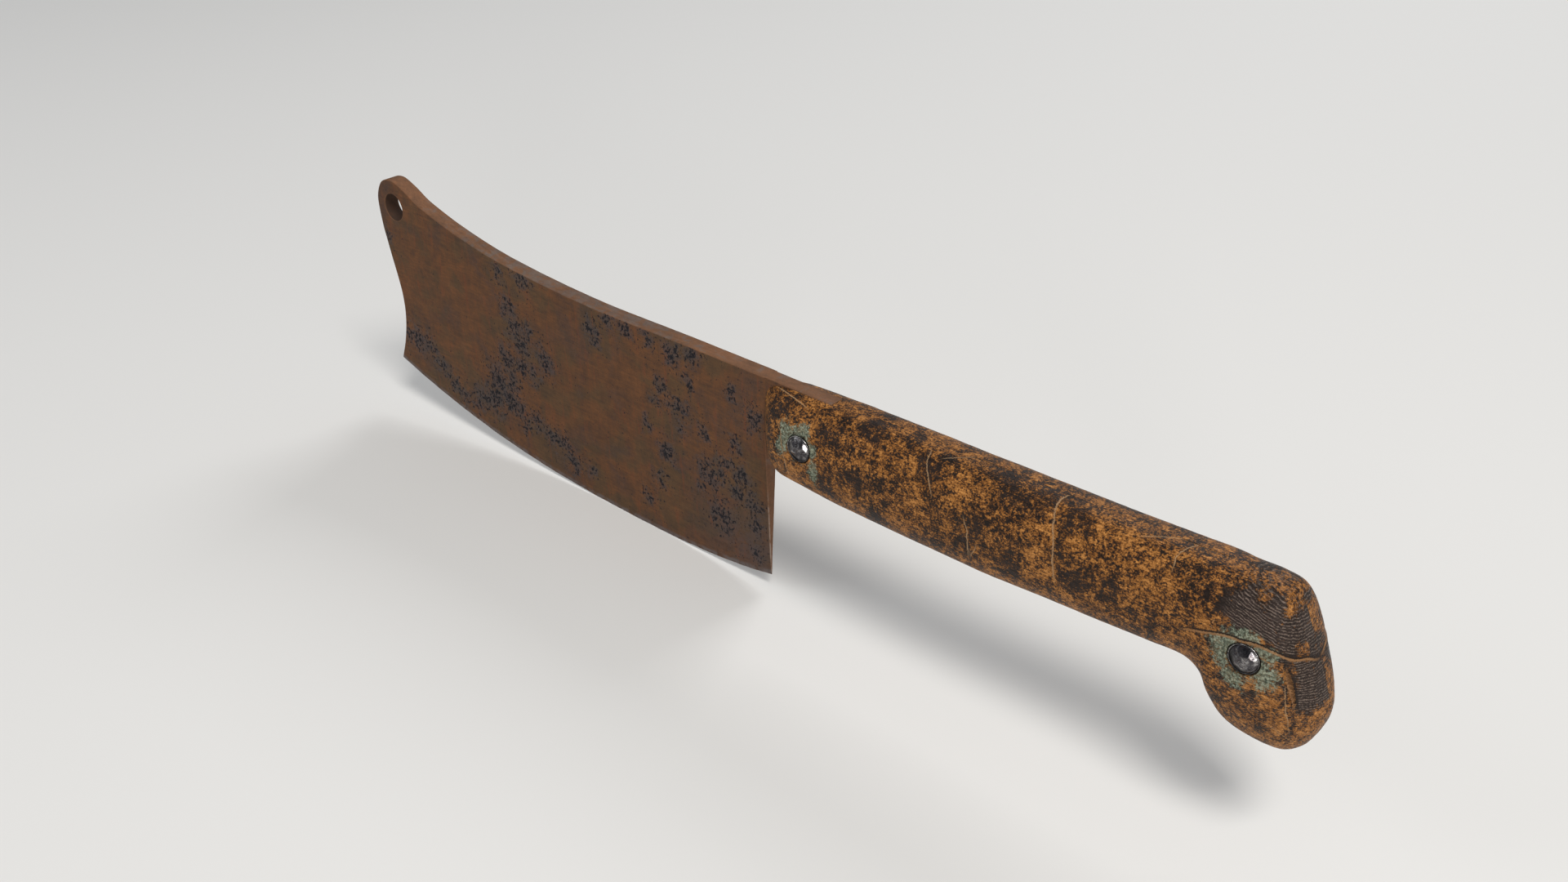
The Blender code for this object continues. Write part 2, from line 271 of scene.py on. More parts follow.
def noise_node(tree, where, scale, detail=4.0, rough=0.5, distortion=0.0):
    """Return a noise texture's value; scale is per millimetre."""
    node = add_node(tree, "ShaderNodeTexNoise", {"Vector": where, "Scale": scale, "Detail": detail,
                                                 "Roughness": rough, "Distortion": distortion})
    return node.outputs["Fac"]


def calc(tree, operation, first, second=0.0, clamp=False):
    """Return the result of a math node."""
    node = add_node(tree, "ShaderNodeMath", {0: first, 1: second}, operation=operation, use_clamp=clamp)
    return node.outputs[0]


def scaled(tree, value, factor):
    """Return a value times a factor."""
    return calc(tree, "MULTIPLY", value, factor)


def weighted(tree, *terms):
    """Return the sum of values, each times its weight."""
    total = scaled(tree, *terms[0])
    for value, weight in terms[1:]:
        total = calc(tree, "ADD", total, scaled(tree, value, weight))
    return total


def centred(tree, value, strength):
    """Return how far a noise value is from its middle, times a strength."""
    return scaled(tree, calc(tree, "SUBTRACT", value, 0.5), strength)


def window(tree, value, low, high):
    """Return value mapped smoothly from low..high to 0..1."""
    node = add_node(tree, "ShaderNodeMapRange", {"Value": value, "From Min": low, "From Max": high},
                    interpolation_type="SMOOTHSTEP")
    return node.outputs["Result"]


def band_of(tree, value, middle, half_width):
    """Return 1 where a value is near its middle, fading to 0 at the half width."""
    away = calc(tree, "ABSOLUTE", calc(tree, "SUBTRACT", value, middle))
    return window(tree, away, half_width, half_width * 0.4)


def ramp(tree, value, stops):
    """Return a colour read from a ramp; stops are position and colour."""
    node = add_node(tree, "ShaderNodeValToRGB", {"Fac": value})
    elements = node.color_ramp.elements
    while len(elements) < len(stops):
        elements.new(0.5)
    for element, (position, colour) in zip(elements, stops):
        element.position = position
        element.color = (*colour, 1.0)
    return node.outputs["Color"]


def blend(tree, share, first, second, mode="MIX"):
    """Return two colours mixed; share, first and second are sockets or values."""
    node = tree.nodes.new("ShaderNodeMix")
    node.data_type = "RGBA"
    node.blend_type = mode
    for socket, value in zip((node.inputs[0], node.inputs[6], node.inputs[7]), (share, first, second)):
        if isinstance(value, bpy.types.NodeSocket):
            tree.links.new(value, socket)
        elif isinstance(value, tuple):
            socket.default_value = (*value, 1.0)
        else:
            socket.default_value = value
    return node.outputs[2]


def lay_over(tree, under, where, strength, colour):
    """Return a colour with another laid over it where a value says, as strongly as given."""
    return blend(tree, scaled(tree, where, strength), under, colour)


def attribute(tree, name):
    """Return a number stored on the mesh."""
    return add_node(tree, "ShaderNodeAttribute", {}, attribute_name=name).outputs["Fac"]


def new_material(name):
    """Return a material's node tree, its Principled shader and the material."""
    material = bpy.data.materials.new(name)
    material.use_nodes = True
    tree = material.node_tree
    return tree, tree.nodes["Principled BSDF"], material


def set_bump(tree, shader, height, strength, distance):
    """Link a height to the shader's normal as a bump."""
    bump = add_node(tree, "ShaderNodeBump", {"Height": height, "Strength": strength,
                                             "Distance": distance * MM})
    tree.links.new(bump.outputs["Normal"], shader.inputs["Normal"])


# ---------------------------------------------------------------- blade

BLADE_SPACING = 0.45
HIDDEN_SPACING = 2.4                 # the tang's, inside the handle
FILL_CLEARANCE = 0.62                # how far fill keeps from an outline, as a share of its spacing
CORNER_ROUND = 0.4
EDGE_BEVEL_SLOPE = 0.135
EDGE_TIP_HALF = 0.06
THINNEST_WALL = 0.5                  # half thickness below which a wall has no dents

# The rings of points that each wall between the cheeks has: rounded corners and a flat middle.
CORNER_RINGS = 3
WALL_SHARES = (-0.6, -0.2, 0.2, 0.6)
LAST_RING = 2 * CORNER_RINGS + len(WALL_SHARES) - 1

# Where rust has pitted the near cheek: place and spread.
NEAR_PITS = (
    (-177, -6, 2.0), (-174, -45, 3.0), (-169, -44, 3.5), (-163, -45, 3.0), (-157, -51, 2.5),
    (-151, -56, 3.0), (-146, -59, 2.5), (-139, -60, 2.5), (-134, -56, 3.5), (-128, -54, 4.5),
    (-124, -46, 5.0), (-119, -51, 4.0), (-117, -35, 3.5), (-117, -3, 2.5), (-116, -44, 3.5),
    (-114, -14, 3.0), (-113, -54, 3.5), (-111, -22, 3.5), (-111, -35, 3.0), (-111, -59, 2.5),
    (-108, -26, 3.5), (-106, -55, 3.0), (-105, -2, 3.0), (-105, -19, 2.0), (-104, -36, 2.5),
    (-97, -28, 3.5), (-97, -58, 3.0), (-92, -58, 2.5), (-88, -64, 3.0), (-80, -63, 2.0),
    (-73, -9, 2.5), (-70, -13, 2.0), (-65, -2, 3.0), (-57, -3, 2.5), (-52, -63, 2.5), (-50, -34, 1.9),
    (-48, -4, 2.0), (-46, -54, 2.5), (-45, -24, 2.0), (-42, -18, 2.0), (-42, -41, 3.0), (-37, -5, 3.0),
    (-37, -22, 2.5), (-35, -30, 2.0), (-32, -23, 2.0), (-31, -12, 2.0), (-29, -2, 3.0), (-28, -48, 1.5),
    (-25, -28, 2.0), (-24, -42, 3.5), (-19, -41, 2.0), (-19, -56, 4.0), (-17, -36, 2.5), (-13, -9, 1.5),
    (-13, -27, 2.0), (-13, -43, 2.5), (-10, -38, 3.0), (-7, -46, 3.0), (-5, -16, 3.0), (-5, -54, 2.5),
    (-5, -64, 2.5))
FAR_PIT_COUNT = 46
SCATTER_SEED = 5
NEAR_PIT_SEED = 61
FAR_PIT_SEED = 71
PIT_SPREAD = 1.5
PIT_DRIFT = 3.0                      # how far noise bends a cluster's border
DEEPEST_PIT = 0.40

# Where the spine is rubbed bare, as x and how much.
BARE_SPINE_X = (-160.0, -140.0, -110.0, -45.0, -20.0)
BARE_SPINE = (0.0, 0.6, 1.0, 0.9, 0.2)

# A violet veil on the lower rear of the blade: its middle, its reach and its strength.
VEIL_MIDDLE = (-9.0, -62.0)
VEIL_REACH = (17.0, 13.0)
VEIL_STRENGTH = 0.75

# The heel's rear corner gets a painted highlight, a light line, from this height down, over this fade.
HEEL_HIGHLIGHT_TOP_Z = -36.0
HEEL_HIGHLIGHT_FADE = 10.0
HEEL_HIGHLIGHT_FRONT_X = -3.0


def spine_and_belly():
    """Return the visible part of the blade's outline, from the heel round to the tang."""
    belly_x = np.linspace(TOE_X, 0.0, 500)
    belly = np.stack([belly_x, edge_height(belly_x)], 1)
    along = [(x, 0.0, 0.0) for x in belly_x]
    wear = noise_at(along, 0.16, 3) * 0.12 + noise_at(along, 0.7, 4) * 0.06
    belly[5:-5, 1] += wear[5:-5]
    return [smooth_line(FRONT_OUTLINE), belly, np.array((belly[-1], TANG_OUTLINE[0]))]


def blade_loops():
    """Return the outline of the blade with its tang, and its holes, in side view."""
    tang = np.array(TANG_OUTLINE)
    outer = np.concatenate([joined(spine_and_belly(), BLADE_SPACING), joined([tang[:-2]], HIDDEN_SPACING),
                            joined([tang[-2:]], BLADE_SPACING)])
    holes = [circle(HANG_HOLE, HANG_HOLE_RADIUS, 72)]
    holes += [circle(centre, BARREL_RADIUS + GAP, 24) for centre in RIVETS.values()]
    return [outer, *holes]


def fill_points(loops):
    """Return points that fill the blade between its outline and its holes."""
    border = np.concatenate(loops)
    tree = KDTree(len(border))
    for index, point in enumerate(border):
        tree.insert((point[0], point[1], 0.0), index)
    tree.balance()
    filled = []
    for spacing, low_x, high_x in ((BLADE_SPACING, TOE_X, 0.0), (HIDDEN_SPACING, 0.0, TANG_END_X)):
        across = np.arange(low_x, high_x, spacing)
        up = np.arange(EDGE_LOW[1], HORN_TOP, spacing * math.sqrt(0.75))
        grid_x, grid_z = np.meshgrid(across, up)
        grid_x[1::2] += spacing / 2
        points = np.stack([grid_x.ravel(), grid_z.ravel()], 1)
        points = points[inside(points, loops[0])]
        for hole in loops[1:]:
            points = points[~inside(points, hole)]
        clear = [tree.find((x, z, 0.0))[2] > FILL_CLEARANCE * spacing for x, z in points]
        filled.append(points[np.array(clear)])
    return np.concatenate(filled)


def triangulate(loops, fill):
    """Return the points and the triangles of the area between the loops; loop points come first."""
    edges = []
    start = 0
    for loop in loops:
        count = len(loop)
        edges += [(start + i, start + (i + 1) % count) for i in range(count)]
        start += count
    points = [Vector(point) for point in np.concatenate([*loops, fill])]
    points, _, triangles, *_ = delaunay_2d_cdt(points, edges, [], 0, 1e-7)
    points = np.array([point[:] for point in points])
    triangles = np.array(triangles)
    centres = points[triangles].mean(axis=1)
    keep = inside(centres, loops[0])
    for loop in loops[1:]:
        keep &= ~inside(centres, loop)
    triangles = triangles[keep]
    corner = points[triangles]
    first, second = corner[:, 1] - corner[:, 0], corner[:, 2] - corner[:, 0]
    flipped = first[:, 0] * second[:, 1] - first[:, 1] * second[:, 0] < 0
    triangles[flipped] = triangles[flipped][:, ::-1]
    return points, triangles


def far_pits():
    """Return where rust has pitted the far cheek: place and spread."""
    draw = random.Random(SCATTER_SEED)
    return [(draw.uniform(-172.0, -6.0), draw.uniform(-64.0, -4.0), draw.uniform(1.8, 4.6))
            for _ in range(FAR_PIT_COUNT)]


def pit_field(points, clusters, seed):
    """Return how far rust has eaten in, with pits above zero, and how near the pits are."""
    flat = [(x, seed * 31.0, z) for x, z in points]
    shift_x = noise_at(flat, 0.24, seed, 2) * PIT_DRIFT
    shift_z = noise_at(flat, 0.24, seed + 1, 2) * PIT_DRIFT
    near = np.zeros(len(points))
    for x, z, spread in clusters:
        away = np.hypot(points[:, 0] + shift_x - x, (points[:, 1] + shift_z - z) * 0.8)
        near = np.maximum(near, np.exp(-(away / (spread * PIT_SPREAD))**1.6))
    tall = [(x * 1.1, seed * 31.0, z * 0.8) for x, z in points]
    eaten = noise_at(tall, 1.05, seed + 2, 3) * 0.62 + near * 0.60 - 0.60
    return eaten, near


def cheek_relief(points, half, side, eaten):
    """Return how far a cheek moves outward: forging waves and rust crust, less the pits."""
    spots = [(x, side * 40.0, z) for x, z in points]
    relief = noise_at(spots, 0.035, 11) * 0.10 + noise_at(spots, 0.22, 12, 3) * 0.035
    relief += noise_at(spots, 0.9, 13) * 0.018
    relief -= np.clip(eaten * 1.8, 0.0, DEEPEST_PIT)
    return np.clip(relief, -0.45 * half, 0.2)


def rim_rings(loop, normals, half, rounding):
    """Return the points of a wall between the cheeks, with rounded corners, ring by ring."""
    dents = noise_at([(x, 0.0, z) for x, z in loop], 0.3, 21, 2) * 0.05
    dents *= np.clip(half - THINNEST_WALL, 0.0, 1.0)
    core = half - rounding
    turns = np.linspace(math.pi / 6, math.pi / 2, CORNER_RINGS)
    corner = [(math.sin(turn), math.cos(turn)) for turn in turns]
    steps = [(out, -core - rounding * rise) for out, rise in corner]
    steps += [(1.0, core * share) for share in WALL_SHARES]
    steps += [(out, core + rounding * rise) for out, rise in corner[::-1]]
    rings = []
    for out, across in steps:
        base = loop + normals * (rounding * (out - 1.0) + dents * out)[:, None]
        rings.append(np.stack([base[:, 0], across, base[:, 1]], 1))
    return rings


def band(near, far, forward):
    """Return the faces between two closed rings of vertices."""
    count = len(near)
    faces = []
    for i in range(count):
        j = (i + 1) % count
        faces.append((near[i], far[i], far[j], near[j]) if forward else (near[i], near[j], far[j], far[i]))
    return faces


def turns_left(loop):
    """Tell whether a closed loop runs anticlockwise."""
    ahead = np.roll(loop, -1, axis=0)
    return np.sum(loop[:, 0] * ahead[:, 1] - loop[:, 1] * ahead[:, 0]) > 0


def blade_cheeks(points):
    """Return both cheeks' vertices, how far rust has eaten in at each, and how near the pits are."""
    half = blade_half(points)
    cheeks = []
    for side, clusters, seed in ((-1, NEAR_PITS, NEAR_PIT_SEED), (1, far_pits(), FAR_PIT_SEED)):
        eaten, near = pit_field(points, clusters, seed)
        across = side * (half + cheek_relief(points, half, side, eaten))
        cheeks.append((np.stack([points[:, 0], across, points[:, 1]], 1), eaten, near))
    return [np.concatenate(parts) for parts in zip(*cheeks)]


def blade_walls(loops, normals, halves, roundings, count):
    """Return the walls' vertices and faces, which are on a corner and which in a hole.

    count is the number of vertices in each cheek; the loops' points come first in both.
    """
    verts, corners, bores, faces = [], [], [], []
    total = 2 * count
    start = 0
    for index, loop in enumerate(loops):
        size = len(loop)
        rings = [np.arange(start, start + size)]
        for step, ring in enumerate(rim_rings(loop, normals[index], halves[index], roundings[index])):
            verts.append(ring)
            corners.append(np.full(size, 1.0 if min(step, LAST_RING - step) < CORNER_RINGS - 1 else 0.0))
            bores.append(np.full(size, 1.0 if index and 0 < step < LAST_RING else 0.0))
            rings.append(np.arange(total, total + size))
            total += size
        rings.append(rings[0] + count)
        forward = turns_left(loop) == (index == 0)
        for near_ring, far_ring in zip(rings, rings[1:]):
            faces += band(near_ring.tolist(), far_ring.tolist(), forward)
        start += size
    return np.concatenate(verts), faces, np.concatenate(corners), np.concatenate(bores)


def blade_fields(verts, corner, bore, on_wall):
    """Return what the blade's material reads at each vertex, by name."""
    x, z = verts[:, 0], verts[:, 2]
    veil = np.exp(-((x - VEIL_MIDDLE[0]) / VEIL_REACH[0])**2 - ((z - VEIL_MIDDLE[1]) / VEIL_REACH[1])**2)
    low = np.clip((HEEL_HIGHLIGHT_TOP_Z - z) / HEEL_HIGHLIGHT_FADE, 0.0, 1.0) * (x > HEEL_HIGHLIGHT_FRONT_X)
    return {"bore": bore, "wall": on_wall - bore, "bare_spine": np.interp(x, BARE_SPINE_X, BARE_SPINE),
            "above_edge": z - edge_height(x), "veil": VEIL_STRENGTH * veil, "heel_highlight": corner * low}


def build_blade(material):
    """The blade and its tang as one dense closed mesh, with worn corners and rust pits."""
    loops = blade_loops()
    normals = [outward_normals(loop, index > 0) for index, loop in enumerate(loops)]
    halves = [blade_half(loop) for loop in loops]
    roundings = [np.minimum(CORNER_ROUND, 0.8 * half) for half in halves]
    inset = [loop - normal * rounding[:, None] for loop, normal, rounding in zip(loops, normals, roundings)]
    points, triangles = triangulate(inset, fill_points(loops))
    count = len(points)
    cheeks, eaten, near = blade_cheeks(points)
    faces = [tuple(int(i) for i in triangle) for triangle in triangles]
    faces += [tuple(int(i) + count for i in triangle[::-1]) for triangle in triangles]
    walls, wall_faces, corner, bore = blade_walls(loops, normals, halves, roundings, count)
    verts = np.concatenate([cheeks, walls])
    blade = make_object("forged_blade", verts, faces + wall_faces, 42.0)
    flat = np.zeros(len(cheeks))
    add_attribute(blade, "eaten", np.concatenate([eaten, np.full(len(walls), -0.5)]))
    add_attribute(blade, "near_pits", np.concatenate([near, np.zeros(len(walls))]))
    fields = [np.concatenate([flat, values]) for values in (corner, bore, np.ones(len(walls)))]
    for field, values in blade_fields(verts, *fields).items():
        add_attribute(blade, field, values)
    blade.data.materials.append(material)
    return blade


RUST = ((0.40, (0.062, 0.033, 0.021)), (0.46, (0.088, 0.043, 0.023)), (0.51, (0.114, 0.052, 0.024)),
        (0.56, (0.142, 0.061, 0.026)), (0.62, (0.190, 0.080, 0.033)))
OLIVE_RUST = ((0.42, (0.060, 0.039, 0.023)), (0.58, (0.104, 0.060, 0.029)))
VIOLET_RUST = (0.076, 0.053, 0.048)
RED_RUST = (0.150, 0.044, 0.021)
GREY_SCALE = ((0.36, (0.036, 0.032, 0.037)), (0.62, (0.078, 0.065, 0.064)))
PIT_BLACK = (0.011, 0.011, 0.0145)
TAN_RUST = ((0.42, (0.125, 0.066, 0.038)), (0.58, (0.220, 0.104, 0.054)))
BARE_STEEL = ((0.42, (0.092, 0.066, 0.056)), (0.58, (0.165, 0.118, 0.094)))
EDGE_STEEL = (0.125, 0.106, 0.102)
HEEL_HIGHLIGHT = (0.260, 0.200, 0.160)
BORE_PAINTED_SHADE = (0.030, 0.017, 0.012)


def rust_colour(tree, tone, clouds, grit, streaks, patchy):
    """Return the cheeks' rust: brown, with olive, violet and red in it."""
    soft = noise_node(tree, coordinates(tree, turn=(0.4, 0.2, 0.1)), 0.075, 4.0, 0.55, 0.5)
    colour = lay_over(tree, ramp(tree, tone, RUST), window(tree, soft, 0.46, 0.60), 0.75,
                      ramp(tree, tone, OLIVE_RUST))
    violet = calc(tree, "MULTIPLY", window(tree, clouds, 0.50, 0.36), window(tree, grit, 0.40, 0.60))
    veiled = calc(tree, "MULTIPLY", attribute(tree, "veil"), patchy)
    violet = calc(tree, "MAXIMUM", scaled(tree, violet, 0.45), veiled)
    colour = blend(tree, violet, colour, VIOLET_RUST)
    return lay_over(tree, colour, window(tree, streaks, 0.54, 0.68), 0.40, RED_RUST)


def add_pits(tree, colour, where, patches, grit):
    """Return the colour with grey halos and dark pits, the halos and the pits."""
    near = attribute(tree, "near_pits")
    halo = window(tree, weighted(tree, (near, 0.46), (patches, -0.8), (grit, 0.85)), 0.14, 0.46)
    colour = lay_over(tree, colour, halo, 0.62, ramp(tree, grit, GREY_SCALE))
    fine = noise_node(tree, coordinates(tree, (1.0, 1.0, 0.75)), 1.8, 2.0, 0.5, 0.3)
    pits = window(tree, calc(tree, "ADD", attribute(tree, "eaten"), centred(tree, fine, 1.7)), -0.14, 0.02)
    flecks = noise_node(tree, where, 0.95, 5.0, 0.62, 0.5)
    flecks = window(tree, weighted(tree, (flecks, 1.0), (near, 0.08)), 0.69, 0.72)
    pits = calc(tree, "MAXIMUM", pits, flecks)
    return lay_over(tree, colour, pits, 0.92, PIT_BLACK), halo, pits


def add_wear(tree, colour, tone, patches, patchy):
    """Return the colour: tan walls, bare spine, worn edge, painted highlight on the heel, painted shade in
    holes.
    """
    # The walls are painted lighter: partly worn rust and bare steel, partly a painted highlight for the
    # light on the spine's top.
    bare_share = weighted(tree, (attribute(tree, "bare_spine"), 0.18), (patches, 1.0))
    wall = blend(tree, window(tree, bare_share, 0.56, 0.76), ramp(tree, tone, TAN_RUST),
                 ramp(tree, tone, BARE_STEEL))
    colour = lay_over(tree, colour, attribute(tree, "wall"), 0.85, wall)
    edge = calc(tree, "MULTIPLY", window(tree, attribute(tree, "above_edge"), 2.2, 0.9), patchy)
    colour = lay_over(tree, colour, edge, 0.80, EDGE_STEEL)
    # Painted highlight: a light line down the heel's rear corner.
    heel_highlight = calc(tree, "MULTIPLY", attribute(tree, "heel_highlight"), patchy)
    colour = lay_over(tree, colour, heel_highlight, 0.75, HEEL_HIGHLIGHT)
    # Painted shade inside the holes.
    return lay_over(tree, colour, attribute(tree, "bore"), 0.72, BORE_PAINTED_SHADE)


def rusted_steel():
    """Brown rust with grey scale showing through, dark pits and faint streaks."""
    tree, shader, material = new_material("rusted_steel")
    where = coordinates(tree)
    clouds = noise_node(tree, where, 0.055, 6.0, 0.55, 0.6)
    patches = noise_node(tree, where, 0.30, 8.0, 0.66, 0.6)
    grit = noise_node(tree, where, 2.2, 5.0, 0.70)
    streaks = noise_node(tree, coordinates(tree, (0.55, 0.5, 0.07)), 1.1, 6.0, 0.68, 0.3)
    strokes = noise_node(tree, coordinates(tree, (0.14, 1.0, 1.0), (0.0, -0.35, 0.0)), 1.0, 6.0, 0.70, 0.4)
    tone = weighted(tree, (patches, 0.24), (streaks, 0.12), (strokes, 0.26), (grit, 0.20), (clouds, 0.18))
    patchy = window(tree, patches, 0.36, 0.56)
    colour = rust_colour(tree, tone, clouds, grit, streaks, patchy)
    colour, halo, pits = add_pits(tree, colour, where, patches, grit)
    colour = add_wear(tree, colour, tone, patches, patchy)
    tree.links.new(colour, shader.inputs["Base Color"])
    rough = calc(tree, "ADD", 0.58, weighted(tree, (grit, 0.25), (halo, -0.12)))
    tree.links.new(rough, shader.inputs["Roughness"])
    shader.inputs["Specular IOR Level"].default_value = 0.14
    height = weighted(tree, (grit, 0.5), (patches, 0.6), (pits, -0.7), (strokes, 0.5))
    set_bump(tree, shader, height, 0.55, 0.16)
    return material


# ---------------------------------------------------------------- handle

BODY_SPACING = 0.42
POMMEL_SPACING = 0.28
POMMEL_X = 138.0
NOSE_LENGTH = 10.0                   # the ends' sections lie closer together over these lengths
BUTT_LENGTH = 6.0
RUN_GAP = 0.2                        # least room between two runs of sections
END_STATIONS = 30
ROUND_COUNT = 112                    # points round each half section
SECTION_STEPS = 240
JOINT_HALF = 0.04                    # half the hairline between the scales
RECESS_SLACK = 0.06                  # room between the tang and the wood
SEAT_SLACK = 0.3                     # and round a rivet's head
CUT_PAST = 20.0

# Scratches on each scale: half width, depth, and a route.  A route's points are x and the share of the
# way round the scale from the top of the handle, at 0, to its bottom, at 1; less than 0 is past the top.
NEAR_SCRATCHES = (
    (0.24, 0.16, ((58.5, 0.07), (59.5, 0.10), (60.5, 0.19), (63.0, 0.28), (65.0, 0.38))),
    (0.26, 0.14, ((75.0, 0.39), (76.5, 0.50), (77.0, 0.69))),
    (0.20, 0.12, ((80.0, 0.54), (79.0, 0.61), (77.5, 0.69))),
    (0.36, 0.22, ((98.5, -0.12), (98.0, 0.03), (98.0, 0.13), (99.5, 0.22), (101.0, 0.34), (102.0, 0.48),
                  (103.0, 0.61))),
    (0.22, 0.14, ((136.0, -0.09), (134.5, -0.04), (133.0, 0.02), (131.5, 0.11), (131.5, 0.18),
                  (132.0, 0.25))),
    (0.18, 0.10, ((63.0, 0.13), (70.5, 0.0), (80.5, -0.14))),
    (0.20, 0.12, ((120.0, 0.12), (127.0, 0.03), (132.0, -0.02), (143.0, -0.11))),
    (0.20, 0.10, ((10.5, 0.29), (11.5, 0.33), (13.0, 0.38), (14.0, 0.50), (15.0, 0.62), (15.5, 0.78))),
    (0.18, 0.10, ((10.5, 0.59), (11.5, 0.65), (13.0, 0.77))),
    (0.22, -0.10, ((4.0, 0.08), (9.0, 0.10), (13.0, 0.12), (16.5, 0.14), (19.5, 0.16))),
    (0.24, 0.12, ((162.0, 0.31), (163.0, 0.37), (163.5, 0.43), (164.5, 0.50), (166.0, 0.67))),
    (0.20, 0.12, ((161.0, 0.66), (163.5, 0.68), (167.0, 0.75))))
FAR_SCRATCHES = (
    (0.28, 0.16, ((42.0, 0.19), (43.5, 0.34), (41.5, 0.56))),
    (0.24, 0.15, ((70.0, 0.58), (84.0, 0.51), (91.0, 0.54))),
    (0.42, 0.22, ((106.0, 0.17), (104.5, 0.27), (105.5, 0.44), (104.0, 0.63))),
    (0.24, 0.12, ((14.0, 0.22), (17.0, 0.68))))

# The route of the long crack above the rear rivet of each scale.
NEAR_CRACK = ((136.0, 0.55), (141.5, 0.48), (148.0, 0.36), (152.0, 0.34), (156.0, 0.32), (160.0, 0.29),
              (163.0, 0.22), (165.0, 0.11), (166.0, 0.03), (166.2, -0.06))
FAR_CRACK = ((128.0, 0.62), (137.0, 0.59), (147.0, 0.40), (156.0, 0.34), (163.0, 0.22), (165.5, 0.07),
             (166.2, -0.06))

TRACE_STEP = 0.05                    # spacing of the points along a scratch or a crack
TRACE_SEED = 31
CRACK_SEED = 47
SCRATCH_FADE = 3.0                   # over what length a scratch or a crack fades at its ends
CRACK_FADE = 6.0

# Dark burnished stains on each scale: place and reach along X and Z.
NEAR_STAINS = (
    (153.5, -4.0, 8.0, 4.0), (160.5, -6.0, 4.5, 4.5), (167.5, -17.0, 3.5, 7.0), (104.0, -8.5, 3.5, 5.0),
    (103.5, -1.5, 5.0, 3.0), (108.0, -14.0, 3.5, 5.0), (31.0, -19.5, 4.0, 4.5), (39.0, -15.0, 3.5, 3.5),
    (28.5, -5.5, 3.5, 2.5), (42.0, -0.5, 5.0, 2.0), (53.0, 0.0, 3.0, 1.5), (61.0, -3.0, 4.0, 2.5),
    (77.0, -14.0, 3.0, 5.5), (88.5, -18.5, 4.0, 3.5), (87.0, 0.5, 8.0, 2.0), (10.0, -3.0, 3.5, 3.0),
    (47.0, -24.0, 4.0, 3.0), (117.5, -12.5, 3.5, 3.0), (126.5, -15.0, 3.5, 3.0))
FAR_STAINS = (
    (150.0, -3.0, 9.0, 5.0), (60.0, -20.0, 8.0, 5.0), (112.0, -5.0, 7.0, 5.0), (30.0, -22.0, 6.0, 4.5),
    (90.0, -12.0, 5.0, 6.0), (163.0, -20.0, 4.0, 9.0), (130.0, -20.0, 6.0, 3.0), (40.0, -3.0, 5.0, 3.0))

# Verdigris around each rivet: place and reach along X and Z.
VERDIGRIS = (
    (15.0, -9.5, 3.0, 3.5), (19.0, -7.0, 3.0, 2.0), (13.5, -13.5, 2.0, 3.0), (25.0, -17.5, 1.5, 4.0),
    (24.5, -11.0, 1.5, 2.5), (20.0, -12.0, 4.0, 4.0), (148.0, -13.0, 4.0, 4.5), (152.5, -8.5, 5.0, 2.0),
    (151.5, -20.5, 4.0, 2.5), (158.5, -17.0, 3.0, 4.0), (158.0, -11.0, 2.5, 2.0))
STAIN_SEED = 51
VERDIGRIS_SEED = 52

# The gouge beside the rear rivet of the near scale: its middle, its half width and half length, its
# lean, how deep it is, and how far behind it its shade falls.
GOUGE = (164.0, -18.5)
GOUGE_REACH = (0.85, 4.8)
GOUGE_LEAN = 0.33
GOUGE_DEPTH = 0.8
GOUGE_SHADE_STEP = 0.50

# The pommel's fine drying ridges: where they start, over what length they grow, and how they climb
# along X above and below the crack.
RIDGE_START_X = 141.0
RIDGE_GROWTH = 8.0
RIDGE_CLIMB = (0.3, 0.04)


def profile_at(points, xs):
    """Return a profile's values at several x."""
    line = smooth_line(points)
    return np.interp(xs, line[:, 0], line[:, 1])


def half_section(x, top, bottom, half_width):
    """Return points round half a section, from its top to its bottom, as out and up."""
    turn = np.linspace(math.pi / 2, -math.pi / 2, SECTION_STEPS)
    power = 2 / np.interp(x, NECK_SPAN, (NECK_SQUARENESS, HANDLE_SQUARENESS))
    out = half_width * np.abs(np.cos(turn))**power
    up = (top + bottom) / 2 + (top - bottom) / 2 * np.sign(turn) * np.abs(np.sin(turn))**power
    length = np.concatenate(([0.0], np.cumsum(np.hypot(np.diff(out), np.diff(up)))))
    along = np.linspace(0.0, length[-1], ROUND_COUNT)
    return np.stack([np.interp(along, length, out), np.interp(along, length, up)], 1)


def point_round(x, share, side):
    """Return a scale's surface point at x, a share of the way round from its top to its bottom."""
    ring = half_section(x, *[profile_at(points, x) for points in (HANDLE_TOP, HANDLE_BOTTOM, HANDLE_SIDE)])
    shares = np.linspace(0.0, 1.0, ROUND_COUNT)
    out = np.interp(abs(share), shares, ring[:, 0])
    return x, side * math.copysign(out, share), np.interp(abs(share), shares, ring[:, 1])


def scale_stations():
    """Return the x of each section, closer together where the shape turns."""
    quarter = np.linspace(0.0, math.pi / 2, END_STATIONS)
    nose = HANDLE_FRONT_X + NOSE_LENGTH * (1 - np.cos(quarter))
    body = np.arange(nose[-1] + BODY_SPACING, POMMEL_X, BODY_SPACING)
    pommel = np.arange(body[-1] + POMMEL_SPACING, HANDLE_END_X - BUTT_LENGTH - RUN_GAP, POMMEL_SPACING)
    butt = HANDLE_END_X - BUTT_LENGTH * np.cos(quarter)
    return np.concatenate([nose, body, pommel, butt])


def scale_surface(side):
    """Return one scale's outer grid of points, stations by points round the section."""
    rows = []
    xs = scale_stations()
    profiles = [profile_at(points, xs) for points in (HANDLE_TOP, HANDLE_BOTTOM, HANDLE_SIDE)]
    for x, top, bottom, width in zip(xs, *profiles):
        ring = half_section(x, top, bottom, width)
        rows.append([(x, side * max(out, JOINT_HALF), up) for out, up in ring])
    return np.array(rows)


